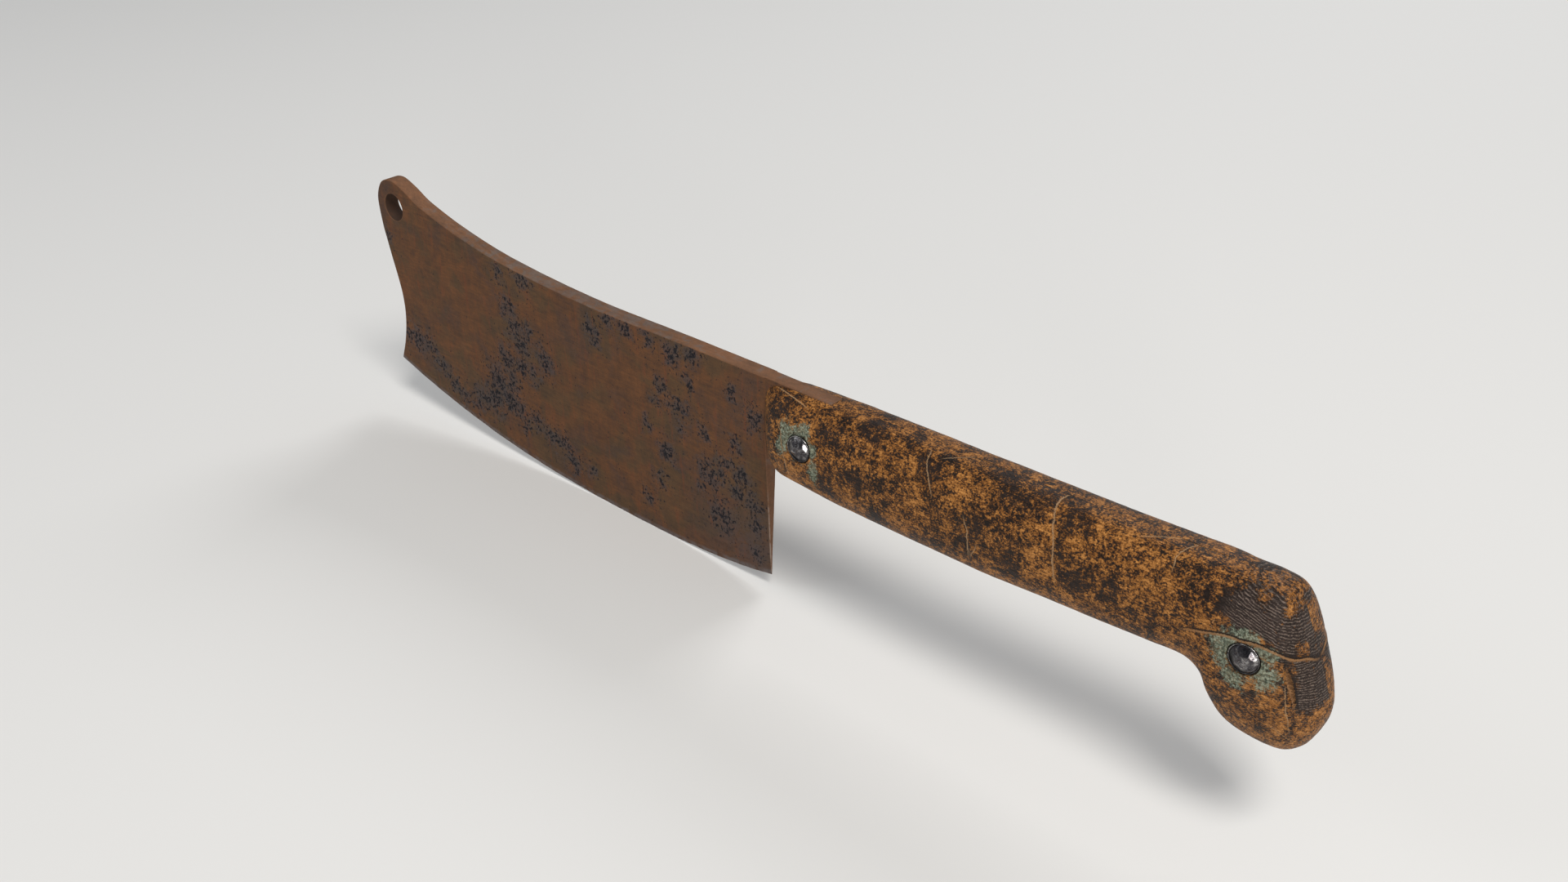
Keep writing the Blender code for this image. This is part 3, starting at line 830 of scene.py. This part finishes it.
def grid_normals(grid, side):
    """Return the grid's unit normals, pointing out of the wood."""
    normals = np.cross(np.gradient(grid, axis=0), np.gradient(grid, axis=1)).reshape(-1, 3)
    normals /= np.maximum(np.linalg.norm(normals, axis=1), 1e-9)[:, None]
    return -normals if normals[len(normals) // 2][1] * side < 0 else normals


def grid_faces(rows, cols):
    """Return the faces of a grid."""
    return [(r * cols + c, r * cols + c + 1, (r + 1) * cols + c + 1, (r + 1) * cols + c)
            for r in range(rows - 1) for c in range(cols - 1)]


def closing_faces(rows, cols):
    """Return the faces that close a grid into a solid: its flat inner face and its two ends."""
    inner = [(r * cols + cols - 1, r * cols, (r + 1) * cols, (r + 1) * cols + cols - 1)
             for r in range(rows - 1)]
    return inner + [tuple(range(cols))[::-1], tuple((rows - 1) * cols + c for c in range(cols))]


def trace(surface, route, seed):
    """Return a line laid on the surface, with each point's direction and distance from an end."""
    dense = resample(smooth_line(route, 12), TRACE_STEP)
    dense[:, 0] += noise_at(dense, 0.3, seed, 2) * 0.35
    laid = [surface.find_nearest(Vector(point)) for point in dense]
    points = np.array([hit[0][:] for hit in laid])
    ahead = np.gradient(points, axis=0)
    normals = np.array([hit[1][:] for hit in laid])
    left = np.cross(normals, ahead)
    left /= np.maximum(np.linalg.norm(left, axis=1), 1e-9)[:, None]
    ends = np.minimum(np.arange(len(points)), np.arange(len(points))[::-1]) * TRACE_STEP
    return points, left, ends


def line_field(spots, traces):
    """Return each spot's signed distance from the nearest traced line, and which point is nearest."""
    points = np.concatenate([points for points, _, _ in traces])
    left = np.concatenate([left for _, left, _ in traces])
    tree = KDTree(len(points))
    for index, point in enumerate(points):
        tree.insert(point, index)
    tree.balance()
    signed = np.zeros(len(spots))
    nearest = np.zeros(len(spots), int)
    for index, spot in enumerate(spots):
        _, found, away = tree.find(spot)
        nearest[index] = found
        signed[index] = math.copysign(away, np.dot(left[found], spot - points[found]))
    return signed, nearest


class Marks:
    """The scratches and the crack of one scale, as fields that geometry and material share."""

    def __init__(self, surface, scratches, crack):
        self.traces = [trace(surface, route, TRACE_SEED + number)
                       for number, (_, _, route) in enumerate(scratches)]
        counts = [len(points) for points, _, _ in self.traces]
        self.width = np.repeat([width for width, _, _ in scratches], counts)
        self.depth = np.repeat([depth for _, depth, _ in scratches], counts)
        self.fade = np.concatenate([np.clip(ends / SCRATCH_FADE, 0.0, 1.0) for _, _, ends in self.traces])
        self.crack = [trace(surface, crack, CRACK_SEED)]
        self.crack_fade = np.clip(self.crack[0][2] / CRACK_FADE, 0.0, 1.0)

    def at(self, spots):
        """Return the marks' depth, and what the material reads of them."""
        signed, nearest = line_field(spots, self.traces)
        across = signed / self.width[nearest]
        show = self.fade[nearest] * np.clip(2.0 - np.abs(across) / 2.0, 0.0, 1.0)
        depth = self.depth[nearest] * self.fade[nearest] * np.exp(-across**2)
        crack, nearest = line_field(spots, self.crack)
        crack_show = self.crack_fade[nearest] * np.clip(3.0 - np.abs(crack), 0.0, 1.0)
        depth += crack_show * (0.10 * np.exp(-(crack / 0.8)**2) - 0.13 * np.exp(-((crack + 1.1) / 0.8)**2))
        return depth, {"scratch": across, "scratch_show": show, "crack": crack, "crack_show": crack_show}


def gouge_field(spots, side, shift=0.0):
    """Return how far inside the near pommel's gouge each spot is: 1 at its middle, 0 at its rim."""
    if side > 0:
        return np.full(len(spots), -1.0)
    along = (spots[:, 2] - GOUGE[1]) / GOUGE_REACH[1]
    middle = GOUGE[0] + shift - GOUGE_LEAN * (spots[:, 2] - GOUGE[1])
    return 1.0 - along**2 - ((spots[:, 0] - middle) / GOUGE_REACH[0])**2


def patch_field(spots, patches, seed):
    """Return how far inside any of the patches each spot is, from 0 to 1, with ragged borders."""
    ragged = noise_at(spots, 0.28, seed, 3) * 0.6
    most = np.zeros(len(spots))
    for x, z, reach_x, reach_z in patches:
        away = np.hypot((spots[:, 0] - x) / reach_x, (spots[:, 2] - z) / reach_z)
        most = np.maximum(most, np.clip(1.5 - away + ragged, 0.0, 1.0))
    return most


def ridge_flow(spots, crack):
    """Return the coordinate the pommel's fine ridges follow: sloping above the crack, level below."""
    line = np.array(crack)
    above = spots[:, 2] > np.interp(spots[:, 0], line[:, 0], line[:, 2])
    return spots[:, 2] + np.where(above, *RIDGE_CLIMB) * spots[:, 0]


def handle_relief(spots, side, marks):
    """Return how far the wood's surface moves outward: soft waves and grain, less its marks."""
    relief = noise_at(spots, 0.05, 41, 2) * 0.12 + noise_at(spots, 0.35, 43, 2) * 0.05
    relief += noise_at(spots * np.array((0.12, 1.0, 1.0)), 1.3, 45) * 0.03
    relief -= marks.at(spots)[0]
    return relief - GOUGE_DEPTH * np.sqrt(np.clip(gouge_field(spots, side), 0.0, 1.0))


def wood_fields(spots, side, marks, crack, stains):
    """Return what the wood's material reads at each vertex, by name."""
    return {**marks.at(spots)[1],
            "burnish": patch_field(spots, stains, STAIN_SEED),
            "verdigris": patch_field(spots, VERDIGRIS, VERDIGRIS_SEED),
            "gouge": gouge_field(spots, side),
            "gouge_shade": gouge_field(spots, side, GOUGE_SHADE_STEP),
            "ridge_flow": ridge_flow(spots, crack),
            "ridge_show": np.clip((spots[:, 0] - RIDGE_START_X) / RIDGE_GROWTH, 0.0, 1.0)}


def build_scale(name, side, scratches, crack, stains, material):
    """One wooden scale as a dense closed mesh, cut for the tang and the rivets."""
    grid = scale_surface(side)
    rows, cols = grid.shape[:2]
    spots = grid.reshape(-1, 3)
    faces = grid_faces(rows, cols)
    surface = BVHTree.FromPolygons([Vector(spot) for spot in spots], faces)
    scratches = [(width, depth, [point_round(x, share, side) for x, share in route])
                 for width, depth, route in scratches]
    crack = [point_round(x, share, side) for x, share in crack]
    marks = Marks(surface, scratches, crack)
    moved = spots + grid_normals(grid, side) * handle_relief(spots, side, marks)[:, None]
    moved[:, 1] = side * np.maximum(side * moved[:, 1], JOINT_HALF)
    faces += closing_faces(rows, cols)
    if side > 0:
        faces = [face[::-1] for face in faces]
    scale = make_object(name, moved, faces, 40.0)
    cut_for_metal(scale, side)
    spots = np.array([(vertex.co - HEEL)[:] for vertex in scale.data.vertices]) / MM
    for field, values in wood_fields(spots, side, marks, crack, stains).items():
        add_attribute(scale, field, values)
    scale.data.materials.append(material)
    return scale


def cut_for_metal(scale, side):
    """Cut the recess for the tang and the holes for the rivets into a scale."""
    tools = [recess_tool()]
    seat = HANDLE_HALF_WIDTH - HEAD_SINK
    for centre in RIVETS.values():
        tools.append(drill_tool(centre, BARREL_RADIUS + GAP, 0.0, side * CUT_PAST))
        tools.append(drill_tool(centre, HEAD_RADIUS + SEAT_SLACK, side * seat, side * CUT_PAST))
    for tool in tools:
        boolean = scale.modifiers.new("cut", "BOOLEAN")
        boolean.operation = "DIFFERENCE"
        boolean.solver = "EXACT"
        boolean.object = tool
    depsgraph = bpy.context.evaluated_depsgraph_get()
    mesh = bpy.data.meshes.new_from_object(scale.evaluated_get(depsgraph))
    scale.modifiers.clear()
    old = scale.data
    scale.data = mesh
    bpy.data.meshes.remove(old)
    for tool in tools:
        bpy.data.objects.remove(tool, do_unlink=True)


def prism(name, loop, low_y, high_y):
    """Return a prism across Y with a side-view outline."""
    low_y, high_y = sorted((low_y, high_y))
    count = len(loop)
    if not turns_left(np.array(loop)):
        loop = loop[::-1]
    verts = [(x, low_y, z) for x, z in loop] + [(x, high_y, z) for x, z in loop]
    faces = [tuple(range(count)), tuple(range(2 * count - 1, count - 1, -1))]
    faces += [(i, i + count, (i + 1) % count + count, (i + 1) % count) for i in range(count)]
    return make_object(name, verts, faces, 30.0)


def recess_tool():
    """Return the tool that makes room for the tang in the wood."""
    slack = RECESS_SLACK
    root, low_shoulder, low_end, high_end, high_shoulder, drop = TANG_OUTLINE[:6]
    end_x = TANG_END_X + GAP
    loop = ((-5.0, 6.0), (TANG_FLUSH_X + slack, 6.0), (TANG_FLUSH_X + slack, slack),
            (drop[0], drop[1] + slack), (high_shoulder[0], high_shoulder[1] + slack), (end_x, high_end[1]),
            (end_x, low_end[1]), (low_shoulder[0], low_shoulder[1] - slack), (-5.0, root[1] - slack))
    return prism("recess", loop, -TANG_HALF - slack, TANG_HALF + slack)


def drill_tool(centre, radius, low_y, high_y):
    """Return a cylinder across Y."""
    return prism("drill", [tuple(point) for point in circle(centre, radius, 48)], low_y, high_y)


OILED_WOOD = ((0.432, (0.012, 0.0075, 0.0055)), (0.472, (0.026, 0.013, 0.007)),
              (0.498, (0.085, 0.035, 0.011)), (0.536, (0.230, 0.090, 0.018)),
              (0.596, (0.400, 0.175, 0.045)))
FIBRE_SHADE = ((0.38, (0.62, 0.56, 0.50)), (0.50, (0.95, 0.95, 0.95)), (0.62, (1.45, 1.50, 1.60)))
POLISHED_WOOD = ((0.40, (0.016, 0.010, 0.008)), (0.60, (0.056, 0.036, 0.029)))
GREEN_CRUST = ((0.38, (0.032, 0.036, 0.025)), (0.50, (0.120, 0.142, 0.100)), (0.60, (0.330, 0.365, 0.275)))
RIDGE_PAINTED_HIGHLIGHT = (0.250, 0.190, 0.150)
SCRATCHED_WOOD = (0.350, 0.210, 0.105)
TORN_WOOD = ((0.42, (0.085, 0.038, 0.015)), (0.58, (0.290, 0.145, 0.058)))
GOUGE_SHADE = (0.012, 0.007, 0.005)
CRACK_LIP_HIGHLIGHT = (0.290, 0.150, 0.064)
CRACK_SPLIT_SHADE = (0.018, 0.010, 0.007)
RIDGES = 10.4                        # radians for each millimetre of the ridges' flow


def wood_colour(tree, where, blotch, speck, fibre):
    """Return the oiled wood's colour: orange under dark mottling, darker and smooth where burnished."""
    broad = noise_node(tree, where, 0.075, 3.0, 0.5, 0.4)
    dapple = noise_node(tree, where, 0.95, 3.0, 0.60, 0.3)
    dots = noise_node(tree, coordinates(tree, (0.8, 1.0, 1.0), (0.0, 0.5, 0.0)), 3.0, 2.0, 0.5)
    dots = calc(tree, "SUBTRACT", dots, 0.45)
    worn = calc(tree, "ADD", attribute(tree, "burnish"), centred(tree, speck, 1.4))
    worn = window(tree, worn, 0.15, 0.95)
    deep = calc(tree, "MULTIPLY", worn, attribute(tree, "ridge_show"))
    tone = weighted(tree, (broad, 0.14), (blotch, 0.32), (dapple, 0.24), (speck, 0.30), (dots, 0.20),
                    (worn, -0.046), (deep, -0.080))
    wood = blend(tree, 1.0, ramp(tree, tone, OILED_WOOD), ramp(tree, fibre, FIBRE_SHADE), "MULTIPLY")
    polish = calc(tree, "MAXIMUM", scaled(tree, worn, 0.30), scaled(tree, deep, 0.75))
    polish = calc(tree, "MULTIPLY", polish, window(tree, tone, 0.490, 0.440))
    return blend(tree, polish, wood, ramp(tree, fibre, POLISHED_WOOD))


def add_verdigris(tree, wood, where):
    """Return the wood with green crust near the rivets, where the crust is, and its crumbs."""
    crumbs = noise_node(tree, where, 1.5, 8.0, 0.75, 0.3)
    crust = weighted(tree, (attribute(tree, "verdigris"), 1.0), (crumbs, 2.0))
    crust = window(tree, crust, 1.30, 1.85)
    return lay_over(tree, wood, crust, 0.85, ramp(tree, crumbs, GREEN_CRUST)), crust, crumbs


def add_ridges(tree, wood, blotch, fibre, crust):
    """Return the wood with a painted highlight on the pommel's ridge crests, and the ridges' height."""
    flow = weighted(tree, (attribute(tree, "ridge_flow"), 1.0), (blotch, 1.6))
    wave = calc(tree, "SINE", scaled(tree, flow, RIDGES))
    ridge = scaled(tree, calc(tree, "ADD", wave, 1.0), 0.5)
    clear_of_crack = calc(tree, "SUBTRACT", 1.0, band_of(tree, attribute(tree, "crack"), 0.0, 0.85))
    for share in (attribute(tree, "ridge_show"), calc(tree, "SUBTRACT", 1.0, crust),
                  window(tree, attribute(tree, "gouge"), 0.1, -0.2), clear_of_crack):
        ridge = calc(tree, "MULTIPLY", ridge, share)
    # Painted highlight: the ridges' crests are painted pale.
    crest_highlight = calc(tree, "MAXIMUM", window(tree, attribute(tree, "burnish"), 0.1, 0.6), 0.30)
    crest_highlight = calc(tree, "MULTIPLY", window(tree, ridge, 0.50, 0.95), crest_highlight)
    crest_highlight = calc(tree, "MULTIPLY", crest_highlight, window(tree, fibre, 0.40, 0.60))
    return lay_over(tree, wood, crest_highlight, 0.68, RIDGE_PAINTED_HIGHLIGHT), ridge


def add_scratches(tree, wood, ragged):
    """Return the wood with pale scratches, and where they are."""
    scratch = band_of(tree, calc(tree, "ADD", attribute(tree, "scratch"), ragged), 0.0, 1.1)
    scratch = calc(tree, "MULTIPLY", scratch, attribute(tree, "scratch_show"), True)
    return lay_over(tree, wood, scratch, 0.82, SCRATCHED_WOOD), scratch


def add_gouge(tree, wood, fibre, ragged):
    """Return the wood with the torn gouge and the shade behind it."""
    shade = window(tree, calc(tree, "ADD", attribute(tree, "gouge_shade"), ragged), -0.1, 0.2)
    wood = lay_over(tree, wood, shade, 0.85, GOUGE_SHADE)
    gouge = window(tree, calc(tree, "ADD", attribute(tree, "gouge"), ragged), 0.0, 0.25)
    return blend(tree, gouge, wood, ramp(tree, fibre, TORN_WOOD))


def add_crack(tree, wood, ragged):
    """Return the wood with the long crack, its lip painted as a highlight and its split as shade, and where
    they are.
    """
    crack = weighted(tree, (attribute(tree, "crack"), 1.0), (ragged, 0.25))
    shown = attribute(tree, "crack_show")
    lip = calc(tree, "MULTIPLY", band_of(tree, crack, -0.48, 0.42), shown, True)
    split = calc(tree, "MULTIPLY", band_of(tree, crack, 0.0, 0.30), shown, True)
    # Painted highlight on the lip; painted shade in the split, partly the crack's own dark gap.
    wood = lay_over(tree, wood, lip, 0.80, CRACK_LIP_HIGHLIGHT)
    return lay_over(tree, wood, split, 0.95, CRACK_SPLIT_SHADE), lip, split


def mottled_wood():
    """Oiled wood, orange under dense dark mottling, with green rivet stains and pale scratches."""
    tree, shader, material = new_material("mottled_wood")
    where = coordinates(tree)
    blotch = noise_node(tree, where, 0.33, 5.0, 0.65, 0.4)
    speck = noise_node(tree, coordinates(tree, (0.75, 1.0, 1.0)), 2.0, 3.0, 0.60, 0.2)
    grit = noise_node(tree, where, 3.6, 3.0, 0.6, 0.2)
    grain = noise_node(tree, coordinates(tree, (0.08, 1.0, 1.0)), 2.2, 4.0, 0.6, 0.2)
    fibre = weighted(tree, (grain, 0.6), (grit, 0.4))
    ragged = centred(tree, grit, 2.4)
    wood = wood_colour(tree, where, blotch, speck, fibre)
    wood, crust, crumbs = add_verdigris(tree, wood, where)
    wood, ridge = add_ridges(tree, wood, blotch, fibre, crust)
    wood, scratch = add_scratches(tree, wood, ragged)
    wood = add_gouge(tree, wood, fibre, ragged)
    wood, lip, split = add_crack(tree, wood, ragged)
    tree.links.new(wood, shader.inputs["Base Color"])
    rough = calc(tree, "ADD", 0.36, weighted(tree, (speck, 0.20), (crust, 0.3)))
    tree.links.new(rough, shader.inputs["Roughness"])
    shader.inputs["Specular IOR Level"].default_value = 0.16
    crumbled = calc(tree, "MULTIPLY", crust, crumbs)
    height = weighted(tree, (speck, 0.9), (grain, 0.9), (ridge, 0.75), (crumbled, 1.8), (split, -1.2),
                      (lip, 0.8), (scratch, 0.5))
    set_bump(tree, shader, height, 0.8, 0.18)
    return material


# ---------------------------------------------------------------- rivets

DOME_RADIUS = 3.5
CREASE_DROP = 0.15                   # how far the dome stops short of the crown's full rise
DOME_STEPS = 20
DOME_FOOT = 0.6                      # hammering reaches down to this height
TURN_STEPS = 96
RIM = ((3.58, 0.46), (3.68, 0.54), (3.80, 0.60), (3.91, 0.56), (HEAD_RADIUS, 0.42), (HEAD_RADIUS, 0.12),
       (HEAD_RADIUS - 0.12, 0.0))

# The small facets of each head, and its one broad facet: turn, slope and lift.
FACETS = 7
BROAD_FACETS = {"front": (0.50, 0.98, 1.80), "rear": (0.74, 0.775, 1.22)}
FACET_CLEARANCE = 0.62
# Each facet's painted light is a brightness standing in for how it catches the light; the broad facet's is a
# painted highlight.
PLAIN_FACET_LIGHT = 0.5
BROAD_FACET_HIGHLIGHT = 1.0

NEAR_RIVET_SEED = 61
FAR_RIVET_SEED = 71

# Each shaft below the head, as radius and height: a solid shank, and a barrel open at its end.
SHANK = ((SHANK_RADIUS, 0.0), (SHANK_RADIUS, -SHANK_LENGTH + GAP), (SHANK_RADIUS - GAP, -SHANK_LENGTH),
         (0.0, -SHANK_LENGTH))
BARREL_FLOOR = 1.2
BARREL = ((BARREL_RADIUS, 0.0), (BARREL_RADIUS, -BARREL_LENGTH), (SHANK_RADIUS + GAP, -BARREL_LENGTH),
          (SHANK_RADIUS + GAP, -BARREL_FLOOR), (0.0, -BARREL_FLOOR))


def head_profile():
    """Return a rivet head from its crown down, as radius and height: dome, crease and raised rim."""
    rise = DOME_HEIGHT - CREASE_DROP
    sphere = (DOME_RADIUS**2 + rise**2) / (2 * rise)
    turns = np.linspace(0.0, math.asin(DOME_RADIUS / sphere), DOME_STEPS)
    crown = HEAD_RIM + DOME_HEIGHT
    return [(sphere * math.sin(turn), crown - sphere * (1 - math.cos(turn))) for turn in turns] + [*RIM]


def head_facets(name, seed):
    """Return a head's facets: the turn, slope, lift and painted light of each."""
    draw = random.Random(seed)
    facets = [(2 * math.pi * (number + draw.uniform(-0.3, 0.3)) / FACETS, draw.uniform(0.42, 0.60),
               draw.uniform(0.35, 0.60), draw.uniform(0.0, 0.8)) for number in range(FACETS)]
    broad = BROAD_FACETS[name.split("_")[0]]
    facets = [facet for facet in facets if math.cos(facet[0] - broad[0]) < math.cos(FACET_CLEARANCE)]
    return facets + [(*broad, BROAD_FACET_HIGHLIGHT)]


def hammered(x, y, height, facets, seed):
    """Return a point's height on the dome after hammering it into facets, and its facet's painted light."""
    if height <= DOME_FOOT:
        return height, PLAIN_FACET_LIGHT
    if math.hypot(x, y) > DOME_RADIUS:
        return height, PLAIN_FACET_LIGHT
    crown = HEAD_RIM + DOME_HEIGHT
    tone = PLAIN_FACET_LIGHT
    for turn, slope, lift, shade in facets:
        struck = crown + lift - slope * (x * math.cos(turn) + y * math.sin(turn))
        if struck < height:
            height, tone = struck, shade
    return height + 0.03 * noise.noise(Vector((x, y, seed)) * 1.3), tone


def turned_faces(rings):
    """Return the faces between rings of vertices, which may have one vertex each."""
    faces = []
    for near, far in zip(rings, rings[1:]):
        for i in range(TURN_STEPS):
            j = (i + 1) % TURN_STEPS
            corners = (near[i % len(near)], far[i % len(far)], far[j % len(far)], near[j % len(near)])
            faces.append(tuple(dict.fromkeys(corners)))
    return faces


def facing(verts, side, along_x, along_z):
    """Return how far each vertex lies towards a side-view direction from the axis, from -1 to 1."""
    return [(along_x * x - along_z * side * y) / (math.hypot(x, y) + 0.01) for x, y, _ in verts]


def build_rivet(name, centre, side, shaft, seed, material):
    """A rivet half: a hammered head with the shaft that holds it."""
    facets = head_facets(name, seed)
    rings, verts, radii, facet_lights = [], [], [], []
    for radius, height in [*head_profile(), *shaft]:
        steps = TURN_STEPS if radius > 0 else 1
        rings.append(list(range(len(verts), len(verts) + steps)))
        for step in range(steps):
            turn = 2 * math.pi * step / TURN_STEPS
            x, y = radius * math.cos(turn), radius * math.sin(turn)
            struck, tone = hammered(x, y, height, facets, seed)
            verts.append((x, y, struck))
            radii.append(radius if height > 0 else 0.0)
            facet_lights.append(tone)
    seat = HANDLE_HALF_WIDTH - HEAD_SINK + GAP
    turned = [(centre[0] + x, side * (seat + z), centre[1] - side * y) for x, y, z in verts]
    rivet = make_object(name, turned, turned_faces(rings), 50.0)
    add_attribute(rivet, "from_axis", radii)
    add_attribute(rivet, "low_side", facing(verts, side, -math.sqrt(0.5), -math.sqrt(0.5)))
    add_attribute(rivet, "upper_side", facing(verts, side, -0.36, 0.93))
    add_attribute(rivet, "facet_painted_light", facet_lights)
    rivet.data.materials.append(material)
    return rivet


NICKEL_SILVER = ((0.44, (0.030, 0.029, 0.034)), (0.58, (0.095, 0.090, 0.095)), (0.74, (0.400, 0.385, 0.375)))
BROWN_GRIME = (0.058, 0.040, 0.034)
BRIGHT_SCRATCH = (0.50, 0.48, 0.46)
CREASE_PAINTED_SHADE = (0.012, 0.012, 0.014)
DULL_RIM = (0.040, 0.038, 0.038)
RIM_PAINTED_HIGHLIGHT = (0.34, 0.33, 0.32)


def rivet_painted_shade(tree, radius):
    """Return where shade is painted: in the crease and on the dome's low side."""
    low_side = attribute(tree, "low_side")
    crease = calc(tree, "MULTIPLY", band_of(tree, radius, 3.55, 0.16), window(tree, low_side, -0.7, 0.3))
    shadow = calc(tree, "MULTIPLY", window(tree, radius, 1.6, 3.3), window(tree, low_side, 0.0, 0.7))
    shadow = calc(tree, "MULTIPLY", shadow, window(tree, radius, 3.62, 3.56))
    return calc(tree, "MAXIMUM", crease, shadow)


def worn_rivet_metal():
    """Dark nickel silver with grime, fine scratches, painted shade in the crease and a painted rim
    highlight.
    """
    tree, shader, material = new_material("worn_nickel_silver")
    where = coordinates(tree)
    cloud = noise_node(tree, where, 0.50, 5.0, 0.65, 0.8)
    grime = noise_node(tree, where, 1.6, 5.0, 0.72, 0.5)
    scratch = noise_node(tree, coordinates(tree, (0.22, 1.0, 2.6), (0.0, 0.7, 0.0)), 2.4, 4.0, 0.65, 0.3)
    # Painted light: each facet's brightness lightens or darkens the metal.
    cast = weighted(tree, (cloud, 1.0), (attribute(tree, "facet_painted_light"), 0.16))
    colour = ramp(tree, cast, NICKEL_SILVER)
    colour = lay_over(tree, colour, window(tree, grime, 0.50, 0.66), 0.75, BROWN_GRIME)
    colour = lay_over(tree, colour, window(tree, scratch, 0.60, 0.70), 0.6, BRIGHT_SCRATCH)
    radius = attribute(tree, "from_axis")
    # Painted shade in the crease and on the dome's low side.
    painted_shade = rivet_painted_shade(tree, radius)
    colour = lay_over(tree, colour, painted_shade, 0.9, CREASE_PAINTED_SHADE)
    outer = window(tree, radius, 3.66, 3.76)
    colour = lay_over(tree, colour, outer, 0.7, DULL_RIM)
    # Painted highlight on the rim's upper side.
    rim_highlight = calc(tree, "MULTIPLY", outer, window(tree, grime, 0.60, 0.44))
    rim_highlight = calc(tree, "MULTIPLY", rim_highlight, window(tree, attribute(tree, "upper_side"), -0.3, 0.5))
    colour = lay_over(tree, colour, rim_highlight, 0.8, RIM_PAINTED_HIGHLIGHT)
    tree.links.new(colour, shader.inputs["Base Color"])
    shader.inputs["Metallic"].default_value = 1.0
    rough = calc(tree, "ADD", 0.10, weighted(tree, (grime, 0.26), (painted_shade, 0.4)))
    tree.links.new(rough, shader.inputs["Roughness"])
    set_bump(tree, shader, weighted(tree, (scratch, 0.5), (cloud, 0.8)), 0.4, 0.10)
    return material


# ---------------------------------------------------------------- setting

FLOOR_REACH = 6.0                    # metres
FLOOR_COLOUR = (0.74, 0.735, 0.72, 1.0)
SKY_COLOUR = (0.93, 0.96, 1.0, 1.0)
SKY_STRENGTH = 0.28

# The soft lights: place and size in metres, power in watts and colour.
LIGHTS = {
    "key": ((0.80, -0.45, 1.40), 0.5, 18.0, (1.0, 0.97, 0.93)),
    "front": ((1.05, -1.15, 0.26), 0.32, 5.5, (1.0, 0.98, 0.96)),
    "fill": ((-1.2, -1.1, 0.9), 1.0, 5.0, (0.95, 0.97, 1.0)),
    "back": ((-0.2, 1.3, 1.1), 0.8, 9.0, (1.0, 1.0, 1.0))}
LIT_POINT = (0.0, 0.0, -20.0)        # what the lights aim at, near the heel


def build_floor():
    """A plain pale floor at the cleaver's lowest point."""
    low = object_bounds()[0][2]
    corners = ((-1, -1), (1, -1), (1, 1), (-1, 1))
    mesh = bpy.data.meshes.new("floor")
    mesh.from_pydata([(x * FLOOR_REACH, y * FLOOR_REACH, low) for x, y in corners], [], [(0, 1, 2, 3)])
    floor = bpy.data.objects.new("floor", mesh)
    bpy.context.scene.collection.objects.link(floor)
    _, shader, material = new_material("pale_floor")
    shader.inputs["Base Color"].default_value = FLOOR_COLOUR
    shader.inputs["Roughness"].default_value = 0.9
    mesh.materials.append(material)


def soft_light(name, where, size, power, colour):
    """A square soft light aimed at the cleaver's middle."""
    data = bpy.data.lights.new(name, "AREA")
    data.size = size
    data.energy = power
    data.color = colour
    lamp = bpy.data.objects.new(name, data)
    lamp.location = where
    aim = place(LIT_POINT) - Vector(where)
    lamp.rotation_euler = aim.to_track_quat("-Z", "Y").to_euler()
    bpy.context.scene.collection.objects.link(lamp)


def build_camera():
    """The camera, above the near side and past the handle's end."""
    data = bpy.data.cameras.new("camera")
    data.lens = CAMERA_LENS
    data.sensor_width = 36.0
    data.clip_start = 0.01
    camera = bpy.data.objects.new("camera", data)
    camera.location = place(CAMERA_FROM_HEEL)
    camera.rotation_euler = (math.radians(90.0 - CAMERA_ELEVATION), 0.0, math.radians(CAMERA_AZIMUTH))
    bpy.context.scene.collection.objects.link(camera)
    bpy.context.scene.camera = camera


def build_setting():
    """The floor, soft studio light and the camera."""
    build_floor()
    world = bpy.data.worlds.new("studio")
    world.use_nodes = True
    world.node_tree.nodes["Background"].inputs["Color"].default_value = SKY_COLOUR
    world.node_tree.nodes["Background"].inputs["Strength"].default_value = SKY_STRENGTH
    bpy.context.scene.world = world
    for name, light in LIGHTS.items():
        soft_light(name, *light)
    build_camera()
    bpy.context.scene.view_settings.view_transform = "Standard"


def stand_for(piece, node):
    """Ride a piece on the root and hide the CAD node it replaces."""
    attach(piece, "root")
    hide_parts(node)


steel = rusted_steel()
wood = mottled_wood()
metal = worn_rivet_metal()
stand_for(build_blade(steel), "blade")
near_scale = build_scale("near_wooden_scale", -1, NEAR_SCRATCHES, NEAR_CRACK, NEAR_STAINS, wood)
stand_for(near_scale, "near_scale")
far_scale = build_scale("far_wooden_scale", 1, FAR_SCRATCHES, FAR_CRACK, FAR_STAINS, wood)
stand_for(far_scale, "far_scale")
for number, (which, centre) in enumerate(RIVETS.items()):
    near_half = build_rivet(f"{which}_near_rivet_head", centre, -1, BARREL, NEAR_RIVET_SEED + number, metal)
    stand_for(near_half, f"{which}_rivet_barrel")
    far_half = build_rivet(f"{which}_far_rivet_head", centre, 1, SHANK, FAR_RIVET_SEED + number, metal)
    stand_for(far_half, f"{which}_rivet_shank")
build_setting()
